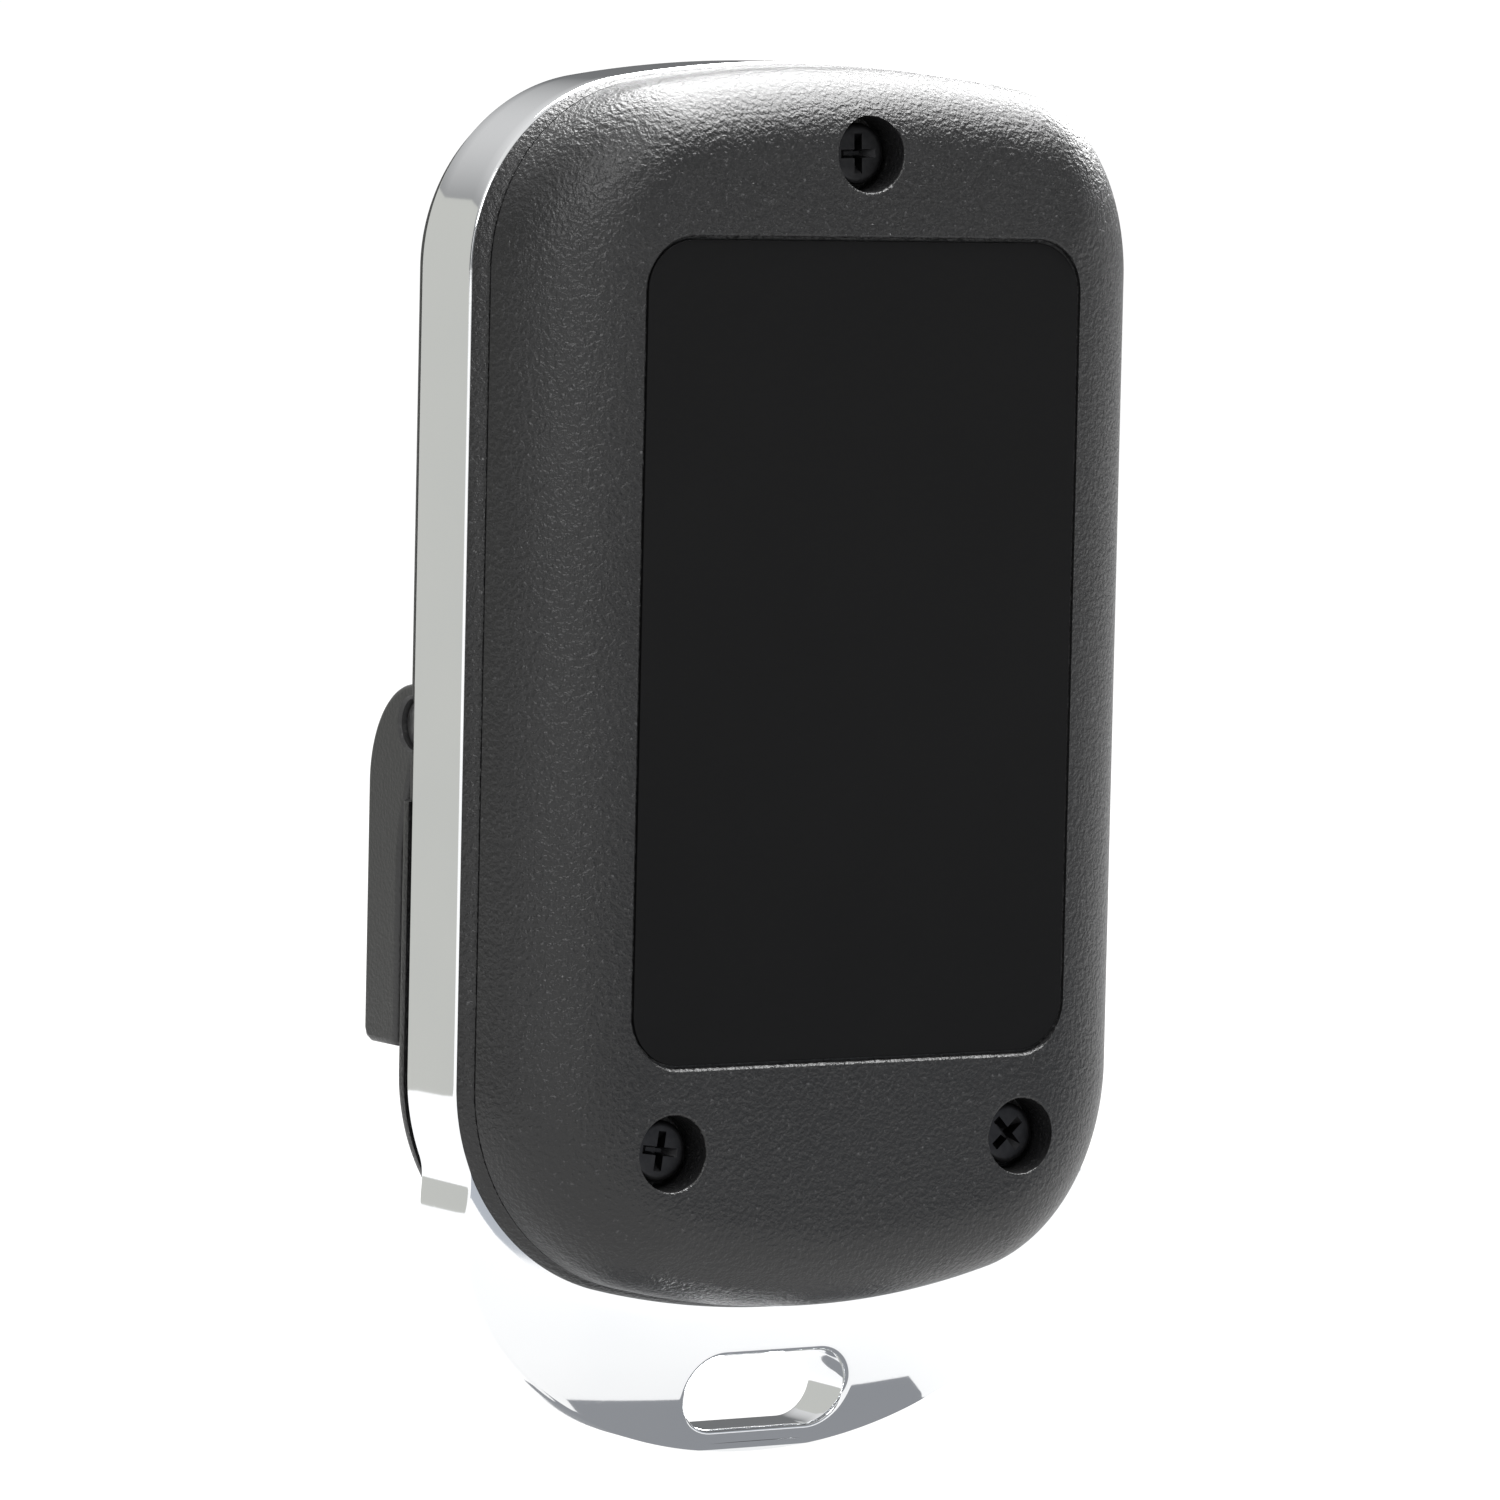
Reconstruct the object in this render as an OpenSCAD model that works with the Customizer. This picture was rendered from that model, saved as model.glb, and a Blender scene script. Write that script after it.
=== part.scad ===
// Pocket radio call fob: two moulded shells on a plated frame, four sprung keys, a spring clip
// on a hinge pin and a coin cell inside.
// X is the width, Z runs from the key ring end up to the top, and the screw side faces +Y.
// Heights are taken from the lowest point of the frame and depths from the flat screw side.

/* [Case] */
// Overall width across the frame
body_w = 35.2; // [30:0.1:43]
// Overall height, from the bottom of the tail to the top edge
body_h = 64.8; // [58:0.1:78]
// Height of the lower edge of the case above the bottom of the tail
tail_h = 7; // [5:0.1:10]
// Corner radius at the top of the outline
top_corner_r = 9; // [6:0.1:11]
// Corner radius at the bottom of the outline
low_corner_r = 10.2; // [8:0.1:13]
// Radius of the slow curve along the top edge
top_crown_r = 60; // [40:1:120]
// Radius of the slow curve along the bottom edge
low_crown_r = 40; // [35:1:120]
// Wall of both shells
shell_wall = 1.5; // [1.2:0.1:2]
// Depth of the frame's joint with the rear shell, from the flat screw side
rear_depth = 5.8; // [5.4:0.1:6.2]
// Depth of the visible plated band
band_depth = 4.5; // [4.3:0.05:6.5]
// Depth of the front shell in front of the band
front_depth = 2.1; // [2.05:0.05:3.5]
// Distance from the hinge notches down to the pad under the clip
pad_drop = 1.3; // [1.2:0.1:3]
// Extra height of the pad under the clip
pad_rise = 0.3; // [0.1:0.05:0.5]

/* [Rear shell] */
// Radius of the large rounding along the sides
side_round = 7.5; // [5:0.1:8.5]
// Radius of the rounding along the top
top_round = 3.5; // [2:0.1:4]
// Radius of the rounding along the bottom
low_round = 4.2; // [3:0.1:5]
// Depth of the slanted smooth rim next to the frame
rim_depth = 0.7; // [0.5:0.05:1]
// Step in from the frame to the foot of the smooth rim
rim_step = 0.1; // [0.05:0.01:0.3]
// Slant of the smooth rim along the sides
rim_slant = 0.5; // [0.2:0.05:0.7]
// Slant of the smooth rim along the top
top_slant = 0.15; // [0.1:0.05:0.4]
// Slant of the smooth rim along the bottom
low_slant = 0.28; // [0.1:0.02:0.5]
// Width and depth of the groove line above the smooth rim
groove_w = 0.16; // [0.1:0.02:0.2]
// Width of the label recess
label_w = 23.4; // [18:0.1:26]
// Height of the label recess
label_h = 37.7; // [30:0.1:42]
// Corner radius of the label recess
label_r = 2.5; // [1:0.1:4]
// Depth of the label recess
label_depth = 0.35; // [0.2:0.05:0.5]
// Thickness of the blank label
label_t = 0.15; // [0.1:0.05:0.2]
// Height of the label's centre above the bottom of the tail
label_z = 38; // [34:0.1:42]

/* [Frame] */
// Wall of the plated band
frame_wall = 1.1; // [0.9:0.1:1.6]
// Small bevel along the band's edges
frame_bevel = 0.18; // [0.1:0.02:0.3]
// Distance from the side of the frame in to the side of the tail's oval
tail_inset = 0.8; // [0.4:0.1:2]
// Half height of the tail's oval
tail_half_h = 12.1; // [11:0.1:14]
// Width of the flat rim between the rear shell and the tail's slope
tail_rim = 0.45; // [0.2:0.05:0.8]
// Slope of the tail's rear face next to the rim
tail_slope = 0.18; // [0.1:0.01:0.3]
// Growth of that slope for each unit of length
tail_curve = 0.02; // [0:0.005:0.03]
// Width of the key ring slot
slot_w = 8.7; // [6:0.1:12]
// Height of the key ring slot
slot_h = 3.6; // [2.5:0.1:4]
// Height of the slot's centre above the bottom of the tail
slot_z = 3; // [2.8:0.1:3.6]
// Play between a shell's lip and the frame
lip_gap = 0.08; // [0.05:0.01:0.15]
// Length of each shell's lip inside the frame
lip_len = 1.2; // [0.8:0.1:1.6]
// Thickness of each shell's lip
lip_t = 0.9; // [0.7:0.1:1.1]

/* [Screws] */
// Distance of the lower screws from the middle
screw_x = 9.42; // [7:0.01:12]
// Height of the lower screws above the bottom of the tail
low_screw_z = 15.3; // [13:0.1:17]
// Distance of the upper screw from the top edge
top_screw_drop = 4.15; // [3.9:0.05:6]
// Diameter of the screw wells
well_d = 3.5; // [3.3:0.1:4]
// Depth of a screw head's face in its well
head_depth = 1.2; // [0.8:0.1:1.6]
// Screw head diameter
head_d = 2.8; // [2.4:0.1:3.1]
// Screw head height
head_h = 1; // [0.8:0.1:1.2]
// Thread diameter
thread_d = 1.7; // [1.4:0.1:2]
// Length under the head
thread_len = 7.4; // [6:0.1:8.4]
// Play around the thread
thread_gap = 0.05; // [0.02:0.01:0.1]
// Outside diameter of the rear bosses
boss_d = 5.4; // [4.6:0.1:5.6]
// Outside diameter of the front bosses
front_boss_d = 4; // [3.6:0.1:4.2]
// Depth where the bosses meet
boss_meet = 6.3; // [6:0.1:6.4]

/* [Clip] */
// Distance from the side of the frame in to the side of the clip
clip_inset = 1.2; // [0.8:0.1:3]
// Height of the hinge above the bottom of the tail
hinge_z = 34.05; // [30:0.05:38]
// Distance of the hinge axis in front of the band
hinge_out = 2.2; // [2.1:0.05:2.6]
// Radius of the round hinge eyes
knuckle_r = 1.85; // [1.6:0.05:2]
// Reach of the clip's plate in front of the hinge axis
clip_reach = 4.1; // [3.6:0.1:5]
// Length of the clip below the hinge axis
clip_len = 15; // [12:0.5:18]
// Thickness of the clip's plate and sides
clip_t = 1.2; // [1:0.1:1.4]
// Height of the rounded bend at the top of the clip's plate
clip_bend_h = 4.7; // [4.5:0.1:5]
// Distance of the bend's centre below the hinge axis
clip_bend_drop = 2.9; // [2.8:0.1:3.2]
// Height of the clip's side walls at the tip
side_wall_h = 3.1; // [2.8:0.1:3.3]
// Hinge pin diameter
pin_d = 2.3; // [1.8:0.1:2.4]
// Play around the hinge pin
pin_gap = 0.05; // [0.02:0.01:0.1]
// Distance that each pin end is set in from the clip's side
pin_set_in = 0.35; // [0.1:0.05:0.6]
// Width of each hinge lug on the front shell
lug_w = 2.4; // [1.6:0.1:3]
// Side play between the clip and the lugs
lug_gap = 0.15; // [0.1:0.05:0.3]
// Play around the clip's round parts
knuckle_gap = 0.25; // [0.2:0.05:0.35]
// Play around the hinge pin in the lugs
lug_pin_gap = 0.01; // [0.01:0.01:0.05]
// Thickness of the bridge inside the shell behind the hinge
bridge_t = 0.8; // [0.6:0.1:1]
// Spring wire diameter
wire_d = 0.5; // [0.4:0.05:0.6]
// Play between the hinge pin and the spring
coil_gap = 0.2; // [0.1:0.05:0.25]
// Number of spring turns
spring_turns = 5; // [3:1:7]

/* [Keys] */
// Width of a key
key_w = 9.4; // [7:0.1:11]
// Height of a key
key_h = 7.4; // [6:0.1:9]
// Corner radius of a key
key_r = 2; // [1:0.1:3]
// Space between the left and right keys
key_mid = 4.8; // [4.6:0.1:7]
// Height of the lower keys' centre above the hinge
key_low = 8.4; // [8:0.1:12]
// Space between the two rows of keys
key_row_gap = 2.2; // [1.6:0.1:4]
// Height of a key above the front shell
key_rise = 0.6; // [0.4:0.1:1.2]
// Play around a key in its opening
key_gap = 0.15; // [0.1:0.01:0.25]
// Width of the flange that holds a key in
key_flange = 0.6; // [0.4:0.1:0.8]
// Key travel
key_travel = 0.3; // [0.2:0.05:0.4]
// Diameter of the raised dots that number the keys
dot_d = 0.8; // [0.5:0.1:1]
// Distance between two dots
dot_pitch = 1.5; // [1.2:0.1:2]
// Height of a dot above its key
dot_rise = 0.15; // [0.1:0.05:0.3]

/* [Electronics] */
// Board thickness
board_t = 0.8; // [0.6:0.2:1.2]
// Depth of the board's rear face
board_depth = 6.6; // [6.5:0.1:6.8]
// Gap between the board's edge and the frame's outer face
board_inset = 2.5; // [2.3:0.1:4]
// Side of the controller chip and of the shield can
chip_w = 7; // [4:0.5:8]
// Height of the controller chip
chip_h = 1.2; // [0.8:0.1:1.6]
// Height of the shield can
can_h = 1.6; // [1.2:0.1:2]
// Space between the small parts on the board
part_gap = 3; // [2.5:0.1:3.5]
// Length of the timing crystal and of the antenna coil
crystal_l = 7; // [5:0.5:8]
// Width of the timing crystal
crystal_w = 2.6; // [2:0.1:3]
// Outside diameter of the antenna coil
antenna_d = 3; // [2.4:0.1:3.2]
// Bore of the antenna coil
antenna_bore = 1.8; // [1.2:0.1:2]
// Coin cell diameter
cell_d = 20; // [16:1:20]
// Coin cell thickness
cell_t = 3.2; // [1.6:0.1:3.2]
// Height of the cell's centre above the bottom of the tail
cell_z = 28.4; // [27:0.1:31]
// Switch body size
switch_w = 4.5; // [4:0.1:5.2]
// Switch body height
switch_h = 1.5; // [1.2:0.1:1.6]
// Switch plunger diameter
plunger_d = 2; // [1.6:0.1:2.2]
// Play around a switch plunger
plunger_gap = 0.06; // [0.03:0.01:0.1]
// Indicator lens diameter
lens_d = 2.6; // [2:0.1:3]
// Height of the indicator lens above the front shell
lens_rise = 0.25; // [0.1:0.05:0.5]

/* [Hidden] */
$fn = 64;
eps = 0.01;
cut = 1;
band_front = rear_depth + band_depth;
face_depth = band_front + front_depth;
pad_depth = face_depth + pad_rise;
hinge_depth = band_front + hinge_out;
total_depth = hinge_depth + clip_reach;
rear_y = total_depth / 2;
case_low = tail_h;
top_screw_z = body_h - top_screw_drop;
screw_at = [[0, top_screw_z], [-screw_x, low_screw_z], [screw_x, low_screw_z]];
head_seat = head_depth + head_h;
clip_half = body_w / 2 - clip_inset;
lug_outer = clip_half - clip_t - lug_gap;
pin_half = clip_half - pin_set_in;
key_x = (key_mid + key_w) / 2;
key_pitch = key_h + key_row_gap;
key_rows = [hinge_z + key_low, hinge_z + key_low + key_pitch];
key_at = [[-key_x, key_rows[1]], [key_x, key_rows[1]], [-key_x, key_rows[0]], [key_x, key_rows[0]]];
lens_z = (key_rows[0] + key_rows[1]) / 2;
front_inner = face_depth - shell_wall;
flange_front = front_inner - 0.05;
flange_t = 0.7;
board_front = board_depth + board_t;
switch_front = board_front + switch_h;
plunger_top = switch_front + 0.45;
key_mount = 0.9;
cell_depth = board_depth - 1 - cell_t;
lip_outer = frame_wall + lip_gap;
lip_inner = lip_outer + lip_t;
chip_z = cell_z + cell_d / 2 + part_gap;
crystal_z = chip_z + chip_w + part_gap;
front_step = 0.25;
front_round = 2.4;
groove_depth = rear_depth - rim_depth;
tail_half_w = body_w / 2 - tail_inset;
coil_r = pin_d / 2 + coil_gap + wire_d / 2;
coil_pitch = wire_d * 1.15;
coil_half = (spring_turns - 1) * coil_pitch / 2;
plate_inner = clip_reach - clip_t;
notch_d = 2 * (knuckle_r + knuckle_gap);

// Inset of a stop at an outline angle: its own value along the sides, the top and the bottom
function inset(stop, a) = let (end = sin(a) > 0 ? stop[2] : stop[3]) end + (stop[1] - end) * pow(cos(a), 2);

// Points along an arc that is set in by a stop, with a number of points left out at each end
function arc(x, z, r, a0, a1, n, skip, stop) =
    [for (i = [skip : n - skip]) let (a = a0 + (a1 - a0) * i / n, q = r - inset(stop, a)) [x + q * cos(a), z + q * sin(a)]];

// A stop with one inset all round
function even(d, s) = [d, s, s, s];

// Distance from a crown's centre along Z to the centre of the corner that runs into it
function corner_offset(crown, corner) = sqrt(pow(crown - corner, 2) - pow(body_w / 2 - corner, 2));

// Case outline set in by a stop: two crowns that run smoothly into four corners
function case_points(stop) =
    let (
        xt = body_w / 2 - top_corner_r,
        xl = body_w / 2 - low_corner_r,
        ct = body_h - top_crown_r,
        cl = case_low + low_crown_r,
        ot = corner_offset(top_crown_r, top_corner_r),
        ol = corner_offset(low_crown_r, low_corner_r),
        at = atan2(ot, xt),
        al = atan2(ol, xl)
    )
    concat(
        arc(xt, ct + ot, top_corner_r, 0, at, 10, 0, stop),
        arc(0, ct, top_crown_r, at, 180 - at, 8, 1, stop),
        arc(-xt, ct + ot, top_corner_r, 180 - at, 180, 10, 0, stop),
        arc(-xl, cl - ol, low_corner_r, 180, 180 + al, 10, 0, stop),
        arc(0, cl, low_crown_r, 180 + al, 360 - al, 8, 1, stop),
        arc(xl, cl - ol, low_corner_r, 360 - al, 360, 10, 0, stop)
    );

// A flat slab between two depths, drawn from an outline in X and Z
module slab(d0, d1) {
    translate([0, rear_y - d0, 0])
        rotate([90, 0, 0])
            linear_extrude(height = d1 - d0)
                children();
}

module case_slab(d0, d1, s) {
    slab(d0, d1) polygon(case_points(even(0, s)));
}

// A round bar that runs along the depth
module peg(x, z, d0, d1, d) {
    translate([x, rear_y - d0, z])
        rotate([90, 0, 0])
            cylinder(d = d, h = d1 - d0);
}

// A round bar along the width at the hinge axis
module hinge_bar(x0, x1, d) {
    translate([x0, rear_y - hinge_depth, hinge_z])
        rotate([0, 90, 0])
            cylinder(d = d, h = x1 - x0);
}

// A plate in depth and Z that runs along the width
module side_plate(x0, x1) {
    translate([x0, rear_y, 0])
        rotate([90, 0, 90])
            linear_extrude(height = x1 - x0)
                mirror([1, 0])
                    children();
}

module block(x0, x1, d0, d1, z0, z1) {
    translate([x0, rear_y - d1, z0])
        cube([x1 - x0, d1 - d0, z1 - z0]);
}

module rounded(w, h, r) {
    square([w - 2 * r, h], center = true);
    square([w, h - 2 * r], center = true);
    for (x = [-1, 1], z = [-1, 1])
        translate([x * (w / 2 - r), z * (h / 2 - r)])
            circle(r = r);
}

// A skin through case outlines, one outline at each stop
module skin(stops) {
    n = len(case_points(stops[0]));
    last = len(stops) - 1;
    polyhedron(
        points = [for (s = stops) for (p = case_points(s)) [p[0], rear_y - s[0], p[1]]],
        faces = concat(
            [[for (j = [0 : n - 1]) j]],
            [for (i = [0 : last - 1]) for (j = [0 : n - 1]) [(i + 1) * n + j, (i + 1) * n + (j + 1) % n, i * n + j]],
            [for (i = [0 : last - 1]) for (j = [0 : n - 1]) [(i + 1) * n + (j + 1) % n, i * n + (j + 1) % n, i * n + j]],
            [[for (j = [n - 1 : -1 : 0]) last * n + j]]
        )
    );
}

// Rear shell ------------------------------------------------------------------

// Inset at depth d on a rounding of radius r that ends at the foot of the groove, moved in by a wall
function round_inset(d, r, slant, wall) =
    let (foot = sqrt(pow(r, 2) - pow(r - min(groove_depth - groove_w, r), 2)))
    rim_step + slant + foot - sqrt(max(pow(r - wall, 2) - pow(r - min(d, r), 2), 0));

function flank_stop(d, wall) = [
    d,
    round_inset(d, side_round, rim_slant, wall),
    round_inset(d, top_round, top_slant, wall),
    round_inset(d, low_round, low_slant, wall)
];

// A stop kept clear of the lip
function inside_lip(stop) = [stop[0], max(stop[1], lip_inner), max(stop[2], lip_inner), max(stop[3], lip_inner)];

// A stop set in by one more step all round
function stepped(stop, d, s) = [d, stop[1] + s, stop[2] + s, stop[3] + s];

module rear_skin() {
    steps = 10;
    inner_steps = 4;
    foot = groove_depth - groove_w;
    floor_depth = shell_wall + 0.3;
    rim_top = flank_stop(foot, 0);
    skin(concat(
        [for (i = [0 : steps]) flank_stop(foot * (1 - cos(90 * i / steps)), 0)],
        [
            stepped(rim_top, foot, groove_w),
            stepped(rim_top, groove_depth, groove_w),
            stepped(rim_top, groove_depth, 0),
            even(rear_depth, rim_step),
            even(rear_depth, lip_outer),
            even(rear_depth + lip_len, lip_outer),
            even(rear_depth + lip_len, lip_inner)
        ],
        [for (i = [0 : inner_steps])
            inside_lip(flank_stop(groove_depth + (floor_depth - groove_depth) * i / inner_steps, shell_wall))]
    ));
}

module rear_shell() {
    color([0.1, 0.1, 0.105])
        difference() {
            union() {
                rear_skin();
                for (p = screw_at)
                    peg(p[0], p[1], shell_wall - 0.3, boss_meet, boss_d);
            }
            for (p = screw_at) {
                peg(p[0], p[1], -cut, head_seat, well_d);
                peg(p[0], p[1], -cut, boss_meet + cut, thread_d + 2 * thread_gap);
            }
            translate([0, 0, label_z])
                slab(-cut, label_depth) rounded(label_w, label_h, label_r);
        }
}

module rear_label() {
    color([0.07, 0.07, 0.075])
        translate([0, 0, label_z])
            slab(label_depth - label_t, label_depth) rounded(label_w - 0.3, label_h - 0.3, label_r - 0.15);
}

// Frame -----------------------------------------------------------------------

module frame_band() {
    skin([
        even(rear_depth, frame_bevel),
        even(rear_depth + frame_bevel, 0),
        even(band_front - frame_bevel, 0),
        even(band_front, frame_bevel)
    ]);
}

// The tail's rear face falls away from the rim ever more steeply, and the oval gives its outline
module frame_tail() {
    reach = case_low + 1;
    intersection() {
        skin(concat(
            [for (h = [0 : reach / 6 : reach]) even(rear_depth + tail_slope * h + tail_curve * h * h, -tail_rim - h)],
            [even(band_front, -tail_rim - reach)]
        ));
        slab(rear_depth - cut, band_front + cut)
            translate([0, tail_half_h])
                scale([tail_half_w, tail_half_h])
                    circle(r = 1, $fn = 96);
    }
}

module chrome_frame() {
    color([0.82, 0.83, 0.85])
        difference() {
            union() {
                frame_band();
                frame_tail();
            }
            case_slab(rear_depth - cut, band_front + cut, frame_wall);
            for (x = [-1, 1])
                peg(x * (slot_w - slot_h) / 2, slot_z, 0, band_front + cut, slot_h);
            block(-(slot_w - slot_h) / 2, (slot_w - slot_h) / 2, 0, band_front + cut,
                slot_z - slot_h / 2, slot_z + slot_h / 2);
        }
}

// Front shell -----------------------------------------------------------------

module front_skin() {
    turn = front_depth - 0.1;
    skin(concat(
        [
            even(front_inner, lip_inner),
            even(band_front - lip_len, lip_inner),
            even(band_front - lip_len, lip_outer),
            even(band_front, lip_outer),
            even(band_front, front_step)
        ],
        [for (t = [0 : 15 : 90]) even(face_depth - turn * (1 - sin(t)), front_step + front_round * (1 - cos(t)))]
    ));
}

// Low pad under the clip, cut square just below the hinge
module clip_pad() {
    turn = front_depth - 0.1;
    intersection() {
        skin([for (t = [0 : 15 : 90])
            even(pad_depth - turn * (1 - sin(t)), front_step - 0.15 + front_round * (1 - cos(t)))]);
        translate([-body_w, -body_w, 0])
            cube([2 * body_w, 2 * body_w, hinge_z - notch_d / 2 - pad_drop]);
    }
}

// Solid bridge inside the shell that closes the wall behind the hinge
module hinge_bridge() {
    half = body_w / 2 - lip_inner + 0.2;
    tall = notch_d / 2 + bridge_t;
    block(-half, half, hinge_depth - notch_d / 2 - bridge_t, front_inner + 0.3, hinge_z - tall, hinge_z + tall);
}

module hinge_lugs() {
    for (x = [-1, 1])
        translate([x * (lug_outer - lug_w / 2), 0, 0])
            side_plate(-lug_w / 2, lug_w / 2) {
                translate([hinge_depth, hinge_z])
                    circle(r = knuckle_r);
                translate([face_depth - 0.6, hinge_z - knuckle_r])
                    square([hinge_depth - face_depth + 0.6, 2 * knuckle_r]);
            }
}

// Small posts that carry the board's front face
module board_posts() {
    for (x = [-1, 1], z = [case_low + 12.5, body_h - 12])
        peg(x * (body_w / 2 - board_inset - 1.5), z, board_front, front_inner + 0.3, 1.6);
}

module front_shell() {
    color([0.09, 0.09, 0.095])
        difference() {
            union() {
                front_skin();
                clip_pad();
                hinge_lugs();
                hinge_bridge();
                board_posts();
                for (p = screw_at)
                    peg(p[0], p[1], boss_meet, front_inner + 0.3, front_boss_d);
            }
            hinge_bar(-clip_half - cut, clip_half + cut, pin_d + 2 * lug_pin_gap);
            for (m = [0, 1])
                mirror([m, 0, 0])
                    hinge_bar(lug_outer, body_w / 2 + cut, notch_d);
            hinge_bar(-coil_half - wire_d, coil_half + wire_d, notch_d);
            for (p = screw_at)
                peg(p[0], p[1], boss_meet - cut, head_seat + thread_len + 0.3, thread_d + 2 * thread_gap);
            for (p = key_at)
                translate([p[0], 0, p[1]])
                    slab(front_inner - cut, face_depth + cut) rounded(key_w + 2 * key_gap, key_h + 2 * key_gap, key_r + key_gap);
            peg(0, lens_z, front_inner - cut, face_depth + cut, lens_d + 0.1);
        }
}

// Screws ----------------------------------------------------------------------

module case_screw(n) {
    p = screw_at[n];
    color([0.12, 0.12, 0.12])
        difference() {
            union() {
                peg(p[0], p[1], head_depth, head_seat, head_d);
                peg(p[0], p[1], head_seat - eps, head_seat + thread_len, thread_d);
            }
            for (a = [45, 135])
                translate([p[0], rear_y - head_depth, p[1]])
                    rotate([0, a, 0])
                        cube([head_d * 0.62, 1.1, 0.42], center = true);
            translate([p[0], rear_y - head_depth + eps, p[1]])
                rotate([90, 0, 0])
                    cylinder(d1 = 1.1, d2 = 0.3, h = 0.75);
        }
}

// Clip ------------------------------------------------------------------------

// Side view of the clip: depth in front of the hinge axis, height above it
function clip_outer() = concat(
    [for (t = [90 : -10 : 0]) [clip_reach * cos(t), clip_bend_h * sin(t) - clip_bend_drop]],
    [[clip_reach, -clip_len + clip_t / 2], [clip_reach - clip_t / 2, -clip_len]]
);

module clip_side_shape() {
    inner = clip_reach - side_wall_h;
    translate([hinge_depth, hinge_z])
        union() {
            circle(r = knuckle_r);
            polygon(concat(clip_outer(), [[inner, -clip_len], [inner, -6], [inner - 0.2, -4.6],
                [0.35, -1.35 - knuckle_r], [0, 0.05 - knuckle_r]]));
        }
}

// The plate's upper edge stops clear of the lugs and the spring
module clip_plate_shape() {
    translate([hinge_depth, hinge_z])
        difference() {
            polygon(concat(clip_outer(), [[0, -clip_len]]));
            polygon(concat([for (t = [90 : -10 : 0]) [plate_inner * cos(t), (clip_bend_h - clip_t) * sin(t) - clip_bend_drop]],
                [[plate_inner, -clip_len - cut], [-cut, -clip_len - cut], [-cut, 0.6]]));
            translate([-cut, 0.1])
                square([clip_reach + 2 * cut, clip_reach]);
            circle(r = knuckle_r + knuckle_gap + 0.05);
        }
}

module clip_lever() {
    color([0.13, 0.13, 0.13])
        difference() {
            union() {
                for (x = [-1, 1])
                    translate([x * (clip_half - clip_t / 2), 0, 0])
                        side_plate(-clip_t / 2, clip_t / 2) clip_side_shape();
                side_plate(-clip_half + clip_t / 2, clip_half - clip_t / 2) clip_plate_shape();
                block(-clip_half + clip_t / 2, clip_half - clip_t / 2, hinge_depth + clip_reach - side_wall_h,
                    hinge_depth + clip_reach - clip_t / 2, hinge_z - clip_len, hinge_z - clip_len + clip_t);
            }
            hinge_bar(-clip_half - cut, clip_half + cut, pin_d + 2 * pin_gap);
        }
}

module clip_pin() {
    color([0.35, 0.35, 0.36])
        hinge_bar(-pin_half, pin_half, pin_d);
}

// Coils around the pin, with one leg on the pad and one leg against the clip's plate
module clip_spring() {
    leg = 4;
    long_leg = 7.5;
    touch = 0.06;
    pad_leg = pad_depth + wire_d / 2 + touch - hinge_depth;
    pad_leg_z = sqrt(pow(coil_r, 2) - pow(pad_leg, 2));
    lean = atan2(plate_inner - wire_d / 2 - 2 * touch - coil_r, long_leg);
    color([0.7, 0.7, 0.72]) {
        for (i = [0 : spring_turns - 1])
            translate([-coil_half + i * coil_pitch, rear_y - hinge_depth, hinge_z])
                rotate([0, 90, 0])
                    rotate_extrude()
                        translate([coil_r, 0])
                            circle(d = coil_pitch + 0.01);
        translate([-coil_half, rear_y - hinge_depth - pad_leg, hinge_z - pad_leg_z - leg])
            cylinder(d = wire_d, h = leg);
        translate([coil_half, rear_y - hinge_depth - coil_r, hinge_z])
            rotate([180 - lean, 0, 0])
                cylinder(d = wire_d, h = long_leg);
    }
}

// Keys and switches -----------------------------------------------------------

module key(n) {
    p = key_at[n];
    top = face_depth + key_rise;
    color([0.2, 0.2, 0.205]) {
        translate([p[0], 0, p[1]]) {
            hull() {
                slab(flange_front - 0.1, top - 0.35) rounded(key_w, key_h, key_r);
                slab(top - 0.1, top - 0.1 + eps) rounded(key_w - 0.3, key_h - 0.3, key_r - 0.15);
                slab(top - eps, top) rounded(key_w - 0.8, key_h - 0.8, key_r - 0.4);
            }
            slab(flange_front - flange_t, flange_front) rounded(key_w + 2 * key_flange, key_h + 2 * key_flange, key_r + key_flange);
        }
        peg(p[0], p[1], plunger_top, flange_front - flange_t + eps, plunger_d + 1);
        for (i = [0 : n])
            peg(p[0] + (i - n / 2) * dot_pitch, p[1], top - eps, top + dot_rise, dot_d);
    }
}

module plunger(n) {
    p = key_at[n];
    color([0.75, 0.72, 0.65])
        peg(p[0], p[1], switch_front - key_mount, plunger_top, plunger_d);
}

module switch_body(n) {
    p = key_at[n];
    color([0.25, 0.25, 0.26])
        difference() {
            translate([p[0], 0, p[1]])
                slab(board_front, switch_front) square([switch_w, switch_w], center = true);
            peg(p[0], p[1], switch_front - key_mount - key_travel - 0.1, switch_front + cut, plunger_d + 2 * plunger_gap);
        }
}

// Electronics -----------------------------------------------------------------

module circuit_board() {
    color([0.05, 0.3, 0.14])
        difference() {
            case_slab(board_depth, board_front, board_inset);
            for (p = screw_at)
                peg(p[0], p[1], board_depth - cut, board_front + cut, front_boss_d + 0.4);
        }
}

module coin_cell() {
    color([0.78, 0.78, 0.76]) {
        peg(0, cell_z, cell_depth, cell_depth + cell_t - 0.35, cell_d);
        peg(0, cell_z, cell_depth + cell_t - 0.35 - eps, cell_depth + cell_t, cell_d - 2.6);
    }
}

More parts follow.
